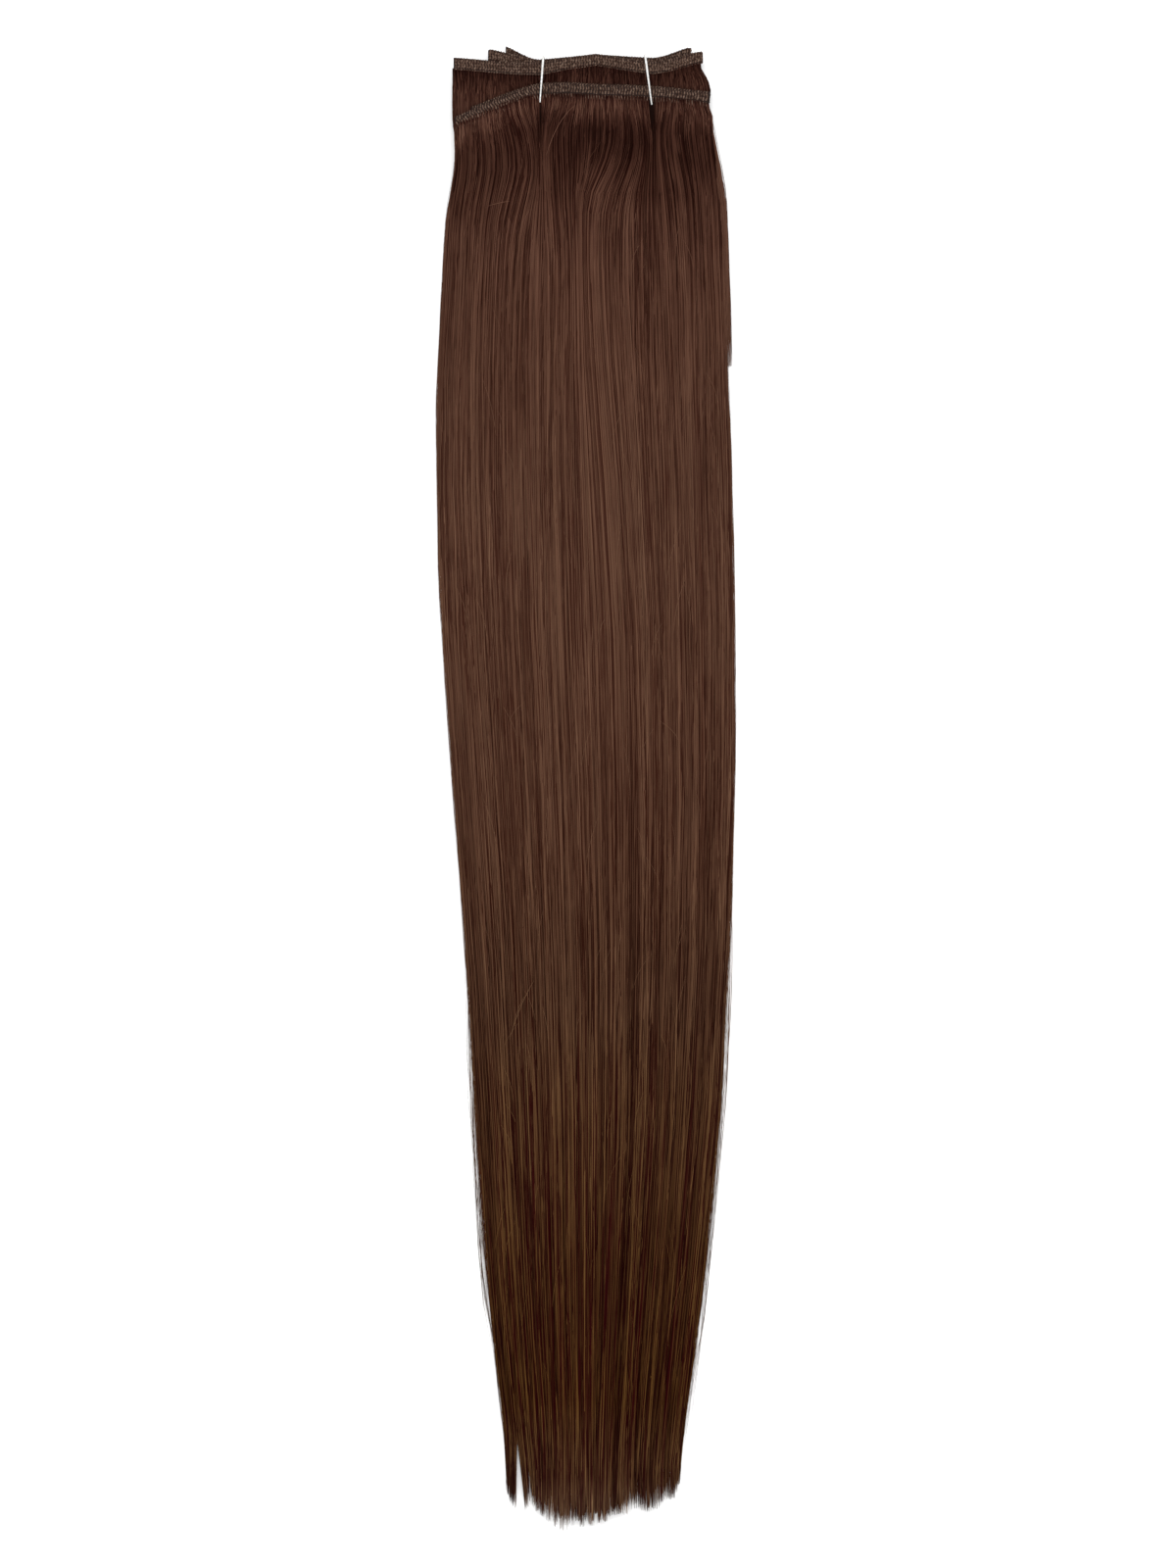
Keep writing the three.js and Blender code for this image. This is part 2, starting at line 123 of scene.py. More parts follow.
# Rows of stitches on a run, in mm: place as a share of its height, turn in degrees, length, width,
# height, shift along the run and rise above it
STITCHES = {
    "stack_track": (
        (0.27, 58, 1.75, 0.84, 0.55, 0, -0.02),
        (0.5, -55, 1.75, 0.84, 0.55, 0, -0.02),
        (0.73, 58, 1.75, 0.84, 0.55, 0, -0.02),
        (0.93, 80, 1.1, 0.85, 0.9, 0, -0.32),
        (0.04, 8, 1.2, 0.5, 0.6, 0, -0.2),
    ),
    "front_track": (
        (0.9, 60, 1.5, 0.6, 0.7, 0, -0.2),
        (0.66, 100, 2.0, 0.72, 0.5, 0.2, 0),
        (0.36, 84, 2.0, 0.76, 0.5, 0, 0),
        (-0.08, 96, 2.7, 0.42, 0.5, -0.1, -0.12),
    ),
}
# Painted shade: the light left at a bead's two ends, where one bead goes under the next
BEAD_END_LIGHT = 0.2
STITCH_STRAY = 0.04 * MM
STITCH_TURN = 0.1  # how unevenly stitches are turned, in radians

# Hair nodes from the surface up: long strands, the share of them at the edges, short strands at the
# track and strands down the sides
HAIR = {
    "stack_hair_1": (1300, 0.5, 0, 90),
    "stack_hair_2": (1100, 0.5, 0, 90),
    "stack_hair_3": (1100, 0.5, 0, 90),
    "stack_hair_4": (1100, 0.5, 0, 90),
    "stack_hair_5": (1100, 0.5, 600, 90),
    "stack_hair_6": (1300, 0.45, 4500, 90),
    "front_hair_1": (1400, 0.4, 1200, 90),
    "front_hair_2": (3450, 0.03, 0, 80),
}
OUTER = "front_hair_2"
SHORT_LENGTHS = (18 * MM, 60 * MM)
SHORT_LIGHT = (0.5, 1.6)
SIDE_LIGHT = 1.3
SWEPT = 420
SHORT_ON_TOP = 1800
CROSSING = 140
LOCKS = {False: 60, True: 86}  # in a run's hair: inner, outer
SHELL = {False: (31, 36), True: (121, 40)}  # a skin's columns and rows: inner, outer


def mesh_arrays(node):
    """A node's vertices, edges as pairs of points, and faces."""
    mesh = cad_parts[node].data
    points = np.empty(len(mesh.vertices) * 3)
    mesh.vertices.foreach_get("co", points)
    points = points.reshape(-1, 3)
    pairs = np.empty(len(mesh.edges) * 2, int)
    mesh.edges.foreach_get("vertices", pairs)
    faces = [tuple(face.vertices) for face in mesh.polygons]
    return points, points[pairs.reshape(-1, 2)], faces


def crossings(edges, axis, place):
    """The points where the edges cross a plane at a place on an axis."""
    low, high = edges[:, 0, axis], edges[:, 1, axis]
    crossing = (low - place) * (high - place) < 0
    share = (place - low[crossing]) / (high[crossing] - low[crossing])
    return edges[crossing, 0] + share[:, None] * (edges[crossing, 1] - edges[crossing, 0])


def smooth(values, passes):
    """Values averaged with their neighbours along the first axis, with the ends kept."""
    for _ in range(passes):
        inner = (values[:-2] + 2 * values[1:-1] + values[2:]) / 4
        values = np.concatenate([values[:1], inner, values[-1:]])
    return values


def filled(grid):
    """A grid whose gaps take the nearest value along their column."""
    grid = grid.copy()
    rows = np.arange(len(grid))
    for column in grid.T:
        known = ~np.isnan(column)
        column[:] = np.interp(rows, rows[known], column[known])
    return grid


def ease(value):
    """0 to 1, gently, as a value goes from 0 to 1."""
    value = np.clip(value, 0, 1)
    return value * value * (3 - 2 * value)


def bell(value):
    return np.exp(-(value ** 2))


def unit(vectors):
    return vectors / np.linalg.norm(vectors, axis=-1, keepdims=True)


class Layer:
    """One run's hair, read from its node: places in it are a share across (-1 to 1) and a y."""

    COLUMNS = 61
    ROOT_ROWS = 50
    LENGTH_ROWS = 80
    ROOT_ZONE = 75 * MM
    BELOW_TRACK = 0.6 * MM
    INSET = 0.995  # share across at which heights are still read
    ROOT_INSET = 0.99
    FAN_START = 5 * MM

    def __init__(self, node, track):
        points, edges, faces = mesh_arrays(node)
        low, high = points.min(0), points.max(0)
        self.front = track == "front_track"
        self.outer = node == OUTER
        self.tip = low[1]
        self.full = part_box(track)[0].y - self.BELOW_TRACK
        self.ys = np.concatenate([
            np.linspace(high[1], high[1] - self.ROOT_ZONE, self.ROOT_ROWS, endpoint=False),
            np.linspace(high[1] - self.ROOT_ZONE, low[1] + RAGGED, self.LENGTH_ROWS),
        ])
        self.read_sides(edges)
        self.read_heights(points, faces)
        self.read_roots(edges)

    def read_sides(self, edges):
        sides = []
        for y in np.minimum(self.ys, self.full):
            xs = crossings(edges, 1, y)[:, 0]
            sides.append((xs.min(), xs.max()))
        sides = smooth(np.array(sides), 3)
        self.middles = sides.mean(1)
        self.halves = (sides[:, 1] - sides[:, 0]) / 2

    def read_heights(self, points, faces):
        tree = BVHTree.FromPolygons([tuple(point) for point in points], faces)
        self.shares = np.linspace(-1, 1, self.COLUMNS)
        inside = self.shares * self.INSET
        above, below = Vector((0, 0, -1)), Vector((0, 0, 1))
        tops = np.full((len(self.ys), self.COLUMNS), np.nan)
        bottoms = tops.copy()
        for i, y in enumerate(self.ys):
            for j, share in enumerate(inside):
                x = self.middles[i] + share * self.halves[i]
                hit = tree.ray_cast(Vector((x, y, 1)), above)[0]
                if hit:
                    tops[i, j] = hit.z
                    bottoms[i, j] = tree.ray_cast(Vector((x, y, -1)), below)[0].z
        self.tops = smooth(smooth(filled(tops), 4).T, 2).T
        self.bottoms = smooth(smooth(filled(bottoms), 4).T, 2).T

    def read_roots(self, edges):
        middle = self.along(self.middles, self.full)
        half = self.along(self.halves, self.full)
        roots = [
            crossings(edges, 0, middle + share * half)[:, 1].max()
            for share in self.shares * self.ROOT_INSET
        ]
        padded = np.pad(roots, 2, mode="edge")
        widest = np.max([padded[i : i + self.COLUMNS] for i in range(5)], axis=0)
        self.roots = smooth(widest, 1)

    def along(self, values, y):
        return np.interp(-y, -self.ys, values)

    def x(self, share, y):
        return self.along(self.middles, y) + share * self.along(self.halves, y) + self.fan(share, y)

    def fan(self, share, y):
        """How far the right side's hair fans out below its track."""
        facts = FANS["front_track" if self.front else "stack_track"]
        much = facts["much"] * bell((TOP - y - facts["down"]) / facts["length"])
        beside = ease((share - facts["inner"]) / (1 - facts["inner"]))
        return much * beside * ease((self.root(share) - y) / self.FAN_START)

    def height(self, grid, share, y):
        """A grid read between its rows and columns."""
        row = self.along(np.arange(len(self.ys)), y)
        column = (np.clip(share, -1, 1) + 1) / 2 * (self.COLUMNS - 1)
        i = np.minimum(row.astype(int), len(self.ys) - 2)
        j = np.minimum(column.astype(int), self.COLUMNS - 2)
        u, v = row - i, column - j
        near = grid[i, j] * (1 - v) + grid[i, j + 1] * v
        far = grid[i + 1, j] * (1 - v) + grid[i + 1, j + 1] * v
        return near * (1 - u) + far * u

    def root(self, share):
        return np.interp(share, self.shares, self.roots)

    def tips(self, share):
        return self.tip + np.interp(share, TIP_SHARE, TIP_RISE)


# The line across the tracks that the hair's length is measured from
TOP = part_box("stack_track")[1].y - 7 * MM

# Where the hair fans out to the right below each track
FANS = {
    "front_track": {"much": 1.5 * MM, "down": 24 * MM, "length": 15 * MM, "inner": 0.6},
    "stack_track": {"much": 3.8 * MM, "down": 11 * MM, "length": 8 * MM, "inner": 0.75},
}

# Where the front hair is pinched and parted by the ties, how far below the tracks, and how strongly
TIE_THICKNESS = 1.1 * MM
TIES = {
    "left_tie": {
        "lean": 1, "half": 0.45 * MM, "depth": 25 * MM, "slope": 0.02, "pinch": 4.5 * MM, "reach": 12 * MM,
    },
    "right_tie": {
        "lean": -1, "half": 1.1 * MM, "depth": 20 * MM, "slope": 0.087, "pinch": 2.2 * MM, "reach": 9 * MM,
    },
}
PINCH_DOWN = 38 * MM
PINCH_LENGTH = 22 * MM
PINCH_START = 12 * MM
SLIT_REACH = 5 * MM
SLIT_LEAST = 0.1 * MM

# How the front hair is swept left of the right tie: how far, its middle and half of its width as
# shares across, where it begins and over which length, and how much it comes back and where
SWEEP = {
    "much": -11 * MM, "middle": 0.27, "half": 0.23, "down": 12 * MM, "length": 30 * MM,
    "back": 0.6, "back_down": 50 * MM, "back_length": 150 * MM,
}


def dive(tie):
    """Where a tie goes down through the hair: x and y."""
    low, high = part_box(tie)
    half = TIE_THICKNESS / 2
    across = low.x if TIES[tie]["lean"] > 0 else high.x
    return across + TIES[tie]["lean"] * half, low.y + half


def pinched(x, y):
    """How far the ties draw the hair at a place to +X."""
    total = np.zeros_like(x)
    for tie, facts in TIES.items():
        middle = dive(tie)[0]
        off = (x - middle) / facts["reach"]
        strength = bell((TOP - y - PINCH_DOWN) / PINCH_LENGTH)
        total -= facts["pinch"] * off * bell(off) * 2 * strength
    return total


def slits(y):
    """For each tie, the slit below it at a y: its line, half of its width, and how open it is."""
    for tie, facts in TIES.items():
        middle, end = dive(tie)
        down = np.clip((end - y) / facts["depth"], 0, 1)
        line = middle + facts["slope"] * facts["depth"] * down
        yield line, facts["half"] * (1 - down), 1 - ease(down)


def split(x, line, half, opened, end):
    """x with strands pushed off a line, and kept to the side of it that one of their ends is on."""
    side = np.where(x[:, end, None] >= line[:, end, None], 1.0, -1.0)
    off = np.maximum((x - line) * side, SLIT_LEAST)
    apart = line + side * (off + half * bell(off / SLIT_REACH))
    return x + (apart - x) * opened


def parted(x, y):
    """x with the hair parted round the ties."""
    for line, half, opened in slits(y):
        x = split(x, line, half, opened, 0)
    return x


def wisped(x, y):
    """x with the left wisp parted from the rest at the tips."""
    opened = np.clip((WISP["y"] - y) / WISP["depth"], 0, 1)
    line = WISP["x"] + WISP["lean"] * (y - WISP["y"])
    return split(x, line, WISP["half"] * opened, ease(opened * 4), -1)


def combed(share, down):
    """How far the front hair is combed to +X, which is less than nothing in its long S to the left."""
    much = SWEEP["much"] * bell((share - SWEEP["middle"]) / SWEEP["half"])
    begun = ease((down - SWEEP["down"]) / SWEEP["length"])
    back = SWEEP["back"] * ease((down - SWEEP["back_down"]) / SWEEP["back_length"])
    return much * begun * (1 - back)


# The dent below the front track: how far down, and how much light is left there
DENT = (
    (0, 0.35), (1.5, 0.85), (5, 0.88), (6.5, 0.7), (8.5, 0.4), (12, 0.32), (18, 0.38), (26, 0.52),
    (34, 0.62), (44, 0.8), (54, 0.94), (66, 1),
)
DENT_DOWN = np.array([row[0] for row in DENT]) * MM
DENT_LIGHT = np.array([row[1] for row in DENT])
DENT_START = 4 * MM

# The dent's strength: how much is left of it at the left, how much it loses at the right, and where
DENT_LEFT = {"much": 0.62, "x": -24 * MM, "length": 10 * MM}
DENT_RIGHT = {"much": 0.14, "x": 22 * MM, "length": 8 * MM}

# Light on inner hair at its track and lower down, and how much painted shade a slit gets
INNER_LIGHT = (0.3, 0.6)
INNER_DOWN = 9 * MM
SLIT_SHADE = 0.96
SLIT_BESIDE = {"strands": 0.4 * MM, "skin": 1.3 * MM}


def shade_of(layer, x, y, share, uneven=0.0, beside=SLIT_BESIDE["strands"]):
    """How much light is left at a place, with the dent shifted by an uneven distance."""
    down = layer.root(share) - y
    if not layer.outer:
        first, last = INNER_LIGHT
        return first + (last - first) * ease(down / INNER_DOWN)
    light = np.interp(down + uneven * ease(down / DENT_START), DENT_DOWN, DENT_LIGHT)
    left = (1 - DENT_LEFT["much"]) * (1 - ease((x - DENT_LEFT["x"]) / DENT_LEFT["length"]))
    right = DENT_RIGHT["much"] * ease((x - DENT_RIGHT["x"]) / DENT_RIGHT["length"])
    light = 1 - (1 - light) * (1 - left - right)
    # Painted shade in the slits below the ties, and beside them.
    for line, half, opened in slits(y):
        near = 1 - ease((np.abs(x - line) - half) / beside)
        light = light * (1 - SLIT_SHADE * near * np.sqrt(opened))
    return light


def laid(layer, share, y, lift, uneven=0.0):
    """Points in the hair: x, z and the light there, from shares across, ys and lifts."""
    down = layer.root(share) - y
    x = layer.x(share, y)
    x = x + pinched(x, y) * ease(down / PINCH_START)
    if layer.front:
        x = parted(x + combed(share, down), y)
    x = wisped(x, y)
    z = layer.height(layer.tops, share, y) + lift
    return x, z, shade_of(layer, x, y, share, uneven)


# How strongly the locks differ in light, by how far down the hair
GLOW_DOWN = np.array((0, 55, 110, 330, 480)) * MM
GLOW_DEPTH = (0.28, 0.2, 0.1, 0.27, 0.44)

# How much lighter or darker single surfacing strands are, by how far down the hair
KICK_DOWN = np.array((0, 60, 110, 400, 480)) * MM
KICK = (0.5, 0.4, 0.2, 0.25, 0.35)


class Locks:
    """Locks of strands, which close up and open again along the hair."""

    STRENGTHS = (0.15, 0.75)
    SPEEDS = (2, 6)
    WAVES = (62 * MM, 24 * MM)
    SECOND_WAVE = 2.3
    UNEVEN = 1.6 * MM
    LATE = (-1.5 * MM, 4 * MM)
    MOST_PULL = 0.9
    EDGE_SHADE = 1.2

    def __init__(self, rng, count):
        self.centres = np.sort(rng.uniform(-1, 1, count))
        self.strength = rng.uniform(*self.STRENGTHS, count)
        self.speed = rng.uniform(*self.SPEEDS, count)
        self.start = rng.uniform(0, 2 * math.pi, count)
        self.tone = rng.normal(0, 1, count)
        self.rate = rng.uniform(*(2 * math.pi / wave for wave in self.WAVES), count)
        self.uneven = rng.normal(0, self.UNEVEN, count)
        self.late = rng.uniform(*self.LATE, count)
        self.half = 1 / count

    def nearest(self, share):
        after = np.clip(np.searchsorted(self.centres, share), 1, len(self.centres) - 1)
        closer = np.abs(share - self.centres[after - 1]) < np.abs(share - self.centres[after])
        return after - closer

    def pull(self, lock, t, least, most):
        """How far strands are drawn to the middle of their lock, along t."""
        wave = 0.5 + 0.5 * np.sin(self.speed[lock] * t * 2 * math.pi + self.start[lock])
        amount = self.strength[lock] * wave
        profile = least * ease(t * 12) + (most - least) * ease((t - 0.55) / 0.45)
        return np.clip(amount * profile, 0, self.MOST_PULL)

    def glow(self, lock, q, y):
        """How much lighter or darker strands are, by their lock and how far from its middle they lie."""
        down = TOP - y
        turn = y * self.rate[lock] + self.start[lock]
        wave = (np.sin(turn) + np.sin(self.SECOND_WAVE * turn + 1)) / 2
        depth = np.interp(down, GLOW_DOWN, GLOW_DEPTH)
        return (1 + depth * wave) * (1 - self.EDGE_SHADE * depth * np.abs(q) ** 3)


def ribbons(points, widths, rolls, shape):
    """Flat ribbons along strands: vertices and quads."""
    count, steps, _ = points.shape
    tangent = unit(np.gradient(points, axis=1))
    across = unit(np.cross(tangent, (0, 0, 1)))
    normal = np.cross(across, tangent)
    rolls = np.broadcast_to(rolls[:, None] if rolls.ndim == 1 else rolls, (count, steps))[:, :, None]
    side = across * np.cos(rolls) + normal * np.sin(rolls)
    half = side * (widths[:, None] * shape[None, :] / 2)[:, :, None]
    vertices = np.stack([points - half, points + half], axis=2).reshape(-1, 3)
    strand = np.arange(count)[:, None] * steps * 2
    step = np.arange(steps - 1)[None, :] * 2
    first = (strand + step).reshape(-1)
    faces = np.stack([first, first + 1, first + 3, first + 2], axis=1)
    return vertices, faces


SHELL_SHARE = 0.25  # of the baked picture's width that a shell's colours take
TONE_SPREAD = 0.36
LOCK_SPREAD = 0.04
LIGHTEST = 0.999


class Coat:
    """Collects the strands of one piece, with their colours."""

    HALF_WIDTH = 57 * MM  # of the zones
    ABOVE = 10 * MM  # from the tracks' line up to where the colours along the hair begin
    LENGTH = 590 * MM  # that the colours along the hair cover
    COLUMN_HALF = 0.3  # half of a strand's width in its column of the baked picture
    STREAK_STEP = 7.31  # from one column's streaks to the next

    def __init__(self):
        self.parts = []
        self.count = 0

    def add(self, vertices, faces, *values):
        """Adds a mesh, with streaks, places in the baked picture, tones and shades of its vertices."""
        self.parts.append((vertices, faces + self.count, *values))
        self.count += len(vertices)

    def strands(self, points, widths, rolls, shape, tones, shades):
        """Adds ribbons at x, y and z, whose tones run from 0, dark, to 1, light."""
        points = np.stack(points, axis=2)
        count, steps, _ = points.shape
        vertices, faces = ribbons(points, widths, rolls, shape)
        tint = np.clip((tones * TINTS).astype(int), 0, TINTS - 1)
        across = (points[:, 0, 0] / self.HALF_WIDTH + 1) / 2
        zone = np.clip((across * ZONES).astype(int), 0, ZONES - 1)
        column = zone * TINTS + tint
        per = steps * 2
        side = np.tile((-self.COLUMN_HALF, self.COLUMN_HALF), count * steps)
        bakes = SHELL_SHARE + (np.repeat(column, per) + 0.5 + side) / (ZONES * TINTS) * (1 - SHELL_SHARE)
        streaks = np.repeat(column * self.STREAK_STEP, per)
        tones = np.repeat(tint / (TINTS - 1), per)
        self.add(vertices, faces, streaks, bakes, tones, np.repeat(shades.reshape(-1), 2))

    def piece(self, name, node):
        joined = [np.concatenate(arrays) for arrays in zip(*self.parts)]
        vertices, faces, streaks, bakes, tones, shades = joined
        piece = add_mesh(name, vertices, faces, MATERIALS["hair"])
        down = (TOP + self.ABOVE - vertices[:, 1]) / self.LENGTH
        add_map(piece, "strand", np.stack([streaks, down], axis=1))
        add_map(piece, "OFBake", np.stack([bakes, down], axis=1))
        add_value(piece, "tone", tones)
        add_value(piece, "light", shades)
        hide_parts(node)


# The skin's low tone is painted shade: the dark of the shaded hair under the strands.
SKIN = {"ragged": 4 * MM, "short": 18 * MM, "inset": 0.995, "tuck": 0.01, "under": 0.12 * MM, "tone": 0.12}


def shell(coat, layer, rng, columns, rows):
    """A closed skin in the hair, coloured dark as painted shade for the shaded hair under the strands."""
    shares = np.linspace(-1, 1, columns)
    t = np.linspace(0, 1, rows) ** 1.6
    root = layer.root(shares) + HIDDEN / 2
    end = layer.tips(shares) + RAGGED * 0.85 + rng.uniform(-1, 1, columns) * SKIN["ragged"]
    end = end + SKIN["short"] * (1 - ease((shares + 0.87) / 0.1))
    y = root[None, :] + t[:, None] * (end - root)[None, :]
    share = shares * (SKIN["inset"] - SKIN["tuck"] * ease((root - y) / (40 * MM)))
    x = layer.x(share, y)
    light = shade_of(layer, x, y, share, beside=SLIT_BESIDE["skin"])
    top = layer.height(layer.tops, share, y) - SKIN["under"]
    bottom = layer.height(layer.bottoms, share, y)
    middle = (top + bottom) / 2
    thin = np.interp(t, (0, 0.85, 1), (1, 1, 0.3))[:, None]
    sides = [
        np.stack([x, y, middle + (edge - middle) * thin], axis=2).reshape(-1, 3)
        for edge in (top, bottom)
    ]
    index = np.arange(rows * columns).reshape(rows, columns)
    a, b = index[:-1, :-1].ravel(), index[:-1, 1:].ravel()
    c, d = index[1:, 1:].ravel(), index[1:, :-1].ravel()
    rim = np.concatenate([index[0, :-1], index[:-1, -1], index[-1, :0:-1], index[:0:-1, 0]])
    after = np.roll(rim, -1)
    under = rows * columns
    faces = np.concatenate([
        np.stack([a, d, c, b], axis=1),
        np.stack([a, b, c, d], axis=1) + under,
        np.stack([rim, after, after + under, rim + under], axis=1),
    ])
    across = np.tile(share.reshape(-1), 2)
    light = np.tile(light.reshape(-1), 2)
    tones = np.full(len(across), SKIN["tone"])
    coat.add(np.concatenate(sides), faces, across * 80 + 5000, (across + 1) / 2 * SHELL_SHARE, tones, light)


def tones_of(rng, locks, lock):
    tone = 0.5 + LOCK_SPREAD * locks.tone[lock] + TONE_SPREAD * rng.normal(0, 1, len(lock))
    return np.clip(tone, 0, LIGHTEST)


def tips_of(rng, layer, locks, shares):
    """Where strands end: their lock's tip, and each above it by its own ragged length."""
    ragged = rng.uniform(0, 1, len(shares)) ** 1.8
    if not layer.outer:
        ragged = 0.12 + 0.88 * ragged
    return layer.tips(shares) + locks.late[locks.nearest(shares)] + RAGGED * ragged


def waves(rng, count, t, slowest, fastest):
    """Slow waves along strands, each with a length and a start of its own."""
    return np.sin(t * rng.uniform(slowest, fastest, (count, 1)) + rng.uniform(0, 2 * math.pi, (count, 1)))


def uneven_of(rng, locks, lock):
    """How far the dent is shifted for strands, by their lock and each on its own."""
    return (locks.uneven[lock] + rng.normal(0, 0.9 * MM, len(lock)))[:, None]


def hung(rng, layer, locks, shares, steps):
    """Strands from their track to their tips: t along them, their tops and their ys."""
    t = steps[None, :]
    top = layer.root(shares)[:, None] + HIDDEN
    return t, top, top - t * (top - tips_of(rng, layer, locks, shares)[:, None])


def widths_of(rng, kind, count):
    return rng.uniform(*WIDTHS[kind], count) * MM


def pointed(steps, first, last):
    """How wide a single hair is along it, narrower towards its ends."""
    return np.interp(steps, (0, 0.2, 0.8, 1), (first, 1, 1, last))


# Long strands: how far they stray across, as shares, the least and most that locks pull inner and
# outer ones, and how high these lie, in mm, with their waves and locks
STRAY = {"lock": 0.004, "own": 0.008, "tips": 0.018, "edge": 0.02}
PULLS = {False: (0.2, 0.6), True: (0.45, 0.8)}
RISES = {False: (-0.3, 0.1), True: (-0.1, 0.5)}
WAVE_RISE = 0.22 * MM
LOCK_RISE = 0.35 * MM


def long_strands(coat, layer, rng, locks, count, edge_share, steps):
    shares = rng.uniform(-1, 1, count)
    at_edge = rng.uniform(0, 1, count) < edge_share
    edge = np.sign(shares) * (1 - 0.12 * rng.uniform(0, 1, count) ** 1.5)
    shares = np.where(at_edge, edge, shares)
    lock = locks.nearest(shares)
    t, top, y = hung(rng, layer, locks, shares, steps)
    pull = locks.pull(lock[:, None], t, *PULLS[layer.outer])
    off = shares - locks.centres[lock]
    drift = STRAY["lock"] * np.sin(t * locks.speed[lock][:, None] * 5 + locks.start[lock][:, None])
    own = STRAY["own"] * waves(rng, count, t, 6, 26)
    own = own + rng.normal(0, STRAY["tips"], (count, 1)) * ease((t - 0.88) / 0.12)
    share = shares[:, None] - off[:, None] * pull + (drift + own) * ease(t * 9)
    over = 1 + STRAY["edge"] * rng.uniform(0, 1, (count, 1)) ** 2
    share = np.clip(share, -over, over)
    base = rng.uniform(*RISES[layer.outer], (count, 1)) * MM
    q = np.clip(off / locks.half, -1, 1)[:, None]
    crown = (1 - q ** 2) * pull * LOCK_RISE
    raised = (WAVE_RISE * waves(rng, count, t, 12, 40) + crown) * ease(t * 20)
    lift = (base + raised * (1 if layer.outer else 0.4)) * (0.25 + 0.75 * ease(t * 25))
    x, z, light = laid(layer, share, y, lift, uneven_of(rng, locks, lock))
    if not layer.outer:
        under = layer.height(layer.bottoms, share, y)
        deep = rng.uniform(0, 1, (count, 1)) ** 2
        z = z * (1 - deep) + under * deep
    widths = widths_of(rng, "long", count)
    rolls = rng.normal(0, 0.35, (count, 1)) - q * 0.5 * pull
    light = light * locks.glow(lock[:, None], q, y)
    tones = tones_of(rng, locks, lock)
    coat.strands((bunched(x, top - y), y, z), widths, rolls, taper(steps), tones, light)


def taper(steps):
    """How wide a long strand is along it."""
    return np.interp(steps, (0, 0.02, 0.985, 1), (0.8, 1, 0.9, 0.3))


def bunched(x, down):
    """x with the strands drawn into bunches at their track."""
    root = x[:, :1]
    tooth = (np.floor(root / TOOTH) + 0.5) * TOOTH
    return x + (tooth - root) * BUNCHED * (1 - ease((down - BUNCH_DOWN) / BUNCH_LENGTH))


def short_strands(coat, layer, rng, locks, count):
    """Strands that show from their track down for a short way."""
    shares = rng.uniform(-1, 1, count)
    lock = locks.nearest(shares)
    t = SHORT_STEPS[None, :]
    top = layer.root(shares)[:, None] + HIDDEN
    y = top - t ** 1.4 * rng.uniform(*SHORT_LENGTHS, (count, 1))
    lean = rng.normal(0, 0.02, (count, 1)) * t
    share = np.clip(shares[:, None] + lean, -1.01, 1.01)
    lift = (rng.uniform(0, 0.35, (count, 1)) * np.sin(t * math.pi * 0.95 + 0.1) - 0.25 * t ** 3) * MM
    x, z, light = laid(layer, share, y, lift, uneven_of(rng, locks, lock))
    shape = np.interp(SHORT_STEPS, (0, 0.1, 0.7, 1), (0.8, 1, 0.8, 0.1))
    widths = widths_of(rng, "short", count)
    light = light * rng.uniform(*SHORT_LIGHT, (count, 1))
    rolls = rng.normal(0, 0.4, count)
    coat.strands((bunched(x, top - y), y, z), widths, rolls, shape, tones_of(rng, locks, lock), light)


def surfacing_strands(coat, layer, rng, locks, facts):
    """Lengths of strands that come up out of the hair and go down into it again."""
    count = facts["count"]
    shares = rng.uniform(-1, 1, count)
    lock = locks.nearest(shares)
    steps = np.linspace(0, 1, facts["points"])
    t = steps[None, :]
    top = layer.root(shares) + HIDDEN
    whole = top - layer.tips(shares)
    place = rng.uniform(0, 1, count) ** 1.1
    length = rng.uniform(*facts["lengths"], count) * (1 + place)
    start = place * (whole - length - RAGGED * rng.uniform(0.1, 1, count))
    y = (top - start)[:, None] - t * length[:, None]
    pull = locks.pull(lock[:, None], (top[:, None] - y) / whole[:, None], *PULLS[layer.outer])
    off = shares - locks.centres[lock]
    slope = rng.normal(0, 0.014 + 0.016 * place)
    bow = rng.normal(0, 0.3 * MM, (count, 1)) * np.sin(t * math.pi)
    lean = ((slope * length)[:, None] * (t - 0.5) + bow) / layer.along(layer.halves, y)
    share = np.clip(shares[:, None] - off[:, None] * pull + lean, -1, 1)
    lift = (rng.uniform(0.3, 0.75, (count, 1)) * np.sin(t * math.pi) ** 0.6 - 0.2) * MM
    x, z, light = laid(layer, share, y, lift, uneven_of(rng, locks, lock))
    widths = rng.uniform(*facts["widths"], count)
    tones = np.clip(tones_of(rng, locks, lock) + rng.choice((-0.25, 0.22), count), 0, LIGHTEST)
    q = np.clip(off / locks.half, -1, 1)[:, None]
    kick = rng.choice((-1, 0, 1), (count, 1)) * np.interp(TOP - y, KICK_DOWN, KICK)
    light = light * locks.glow(lock[:, None], q, y) * (1 + kick)
    coat.strands((x, y, z), widths, rng.normal(0, 0.3, count), pointed(steps, 0.1, 0.1), tones, light)


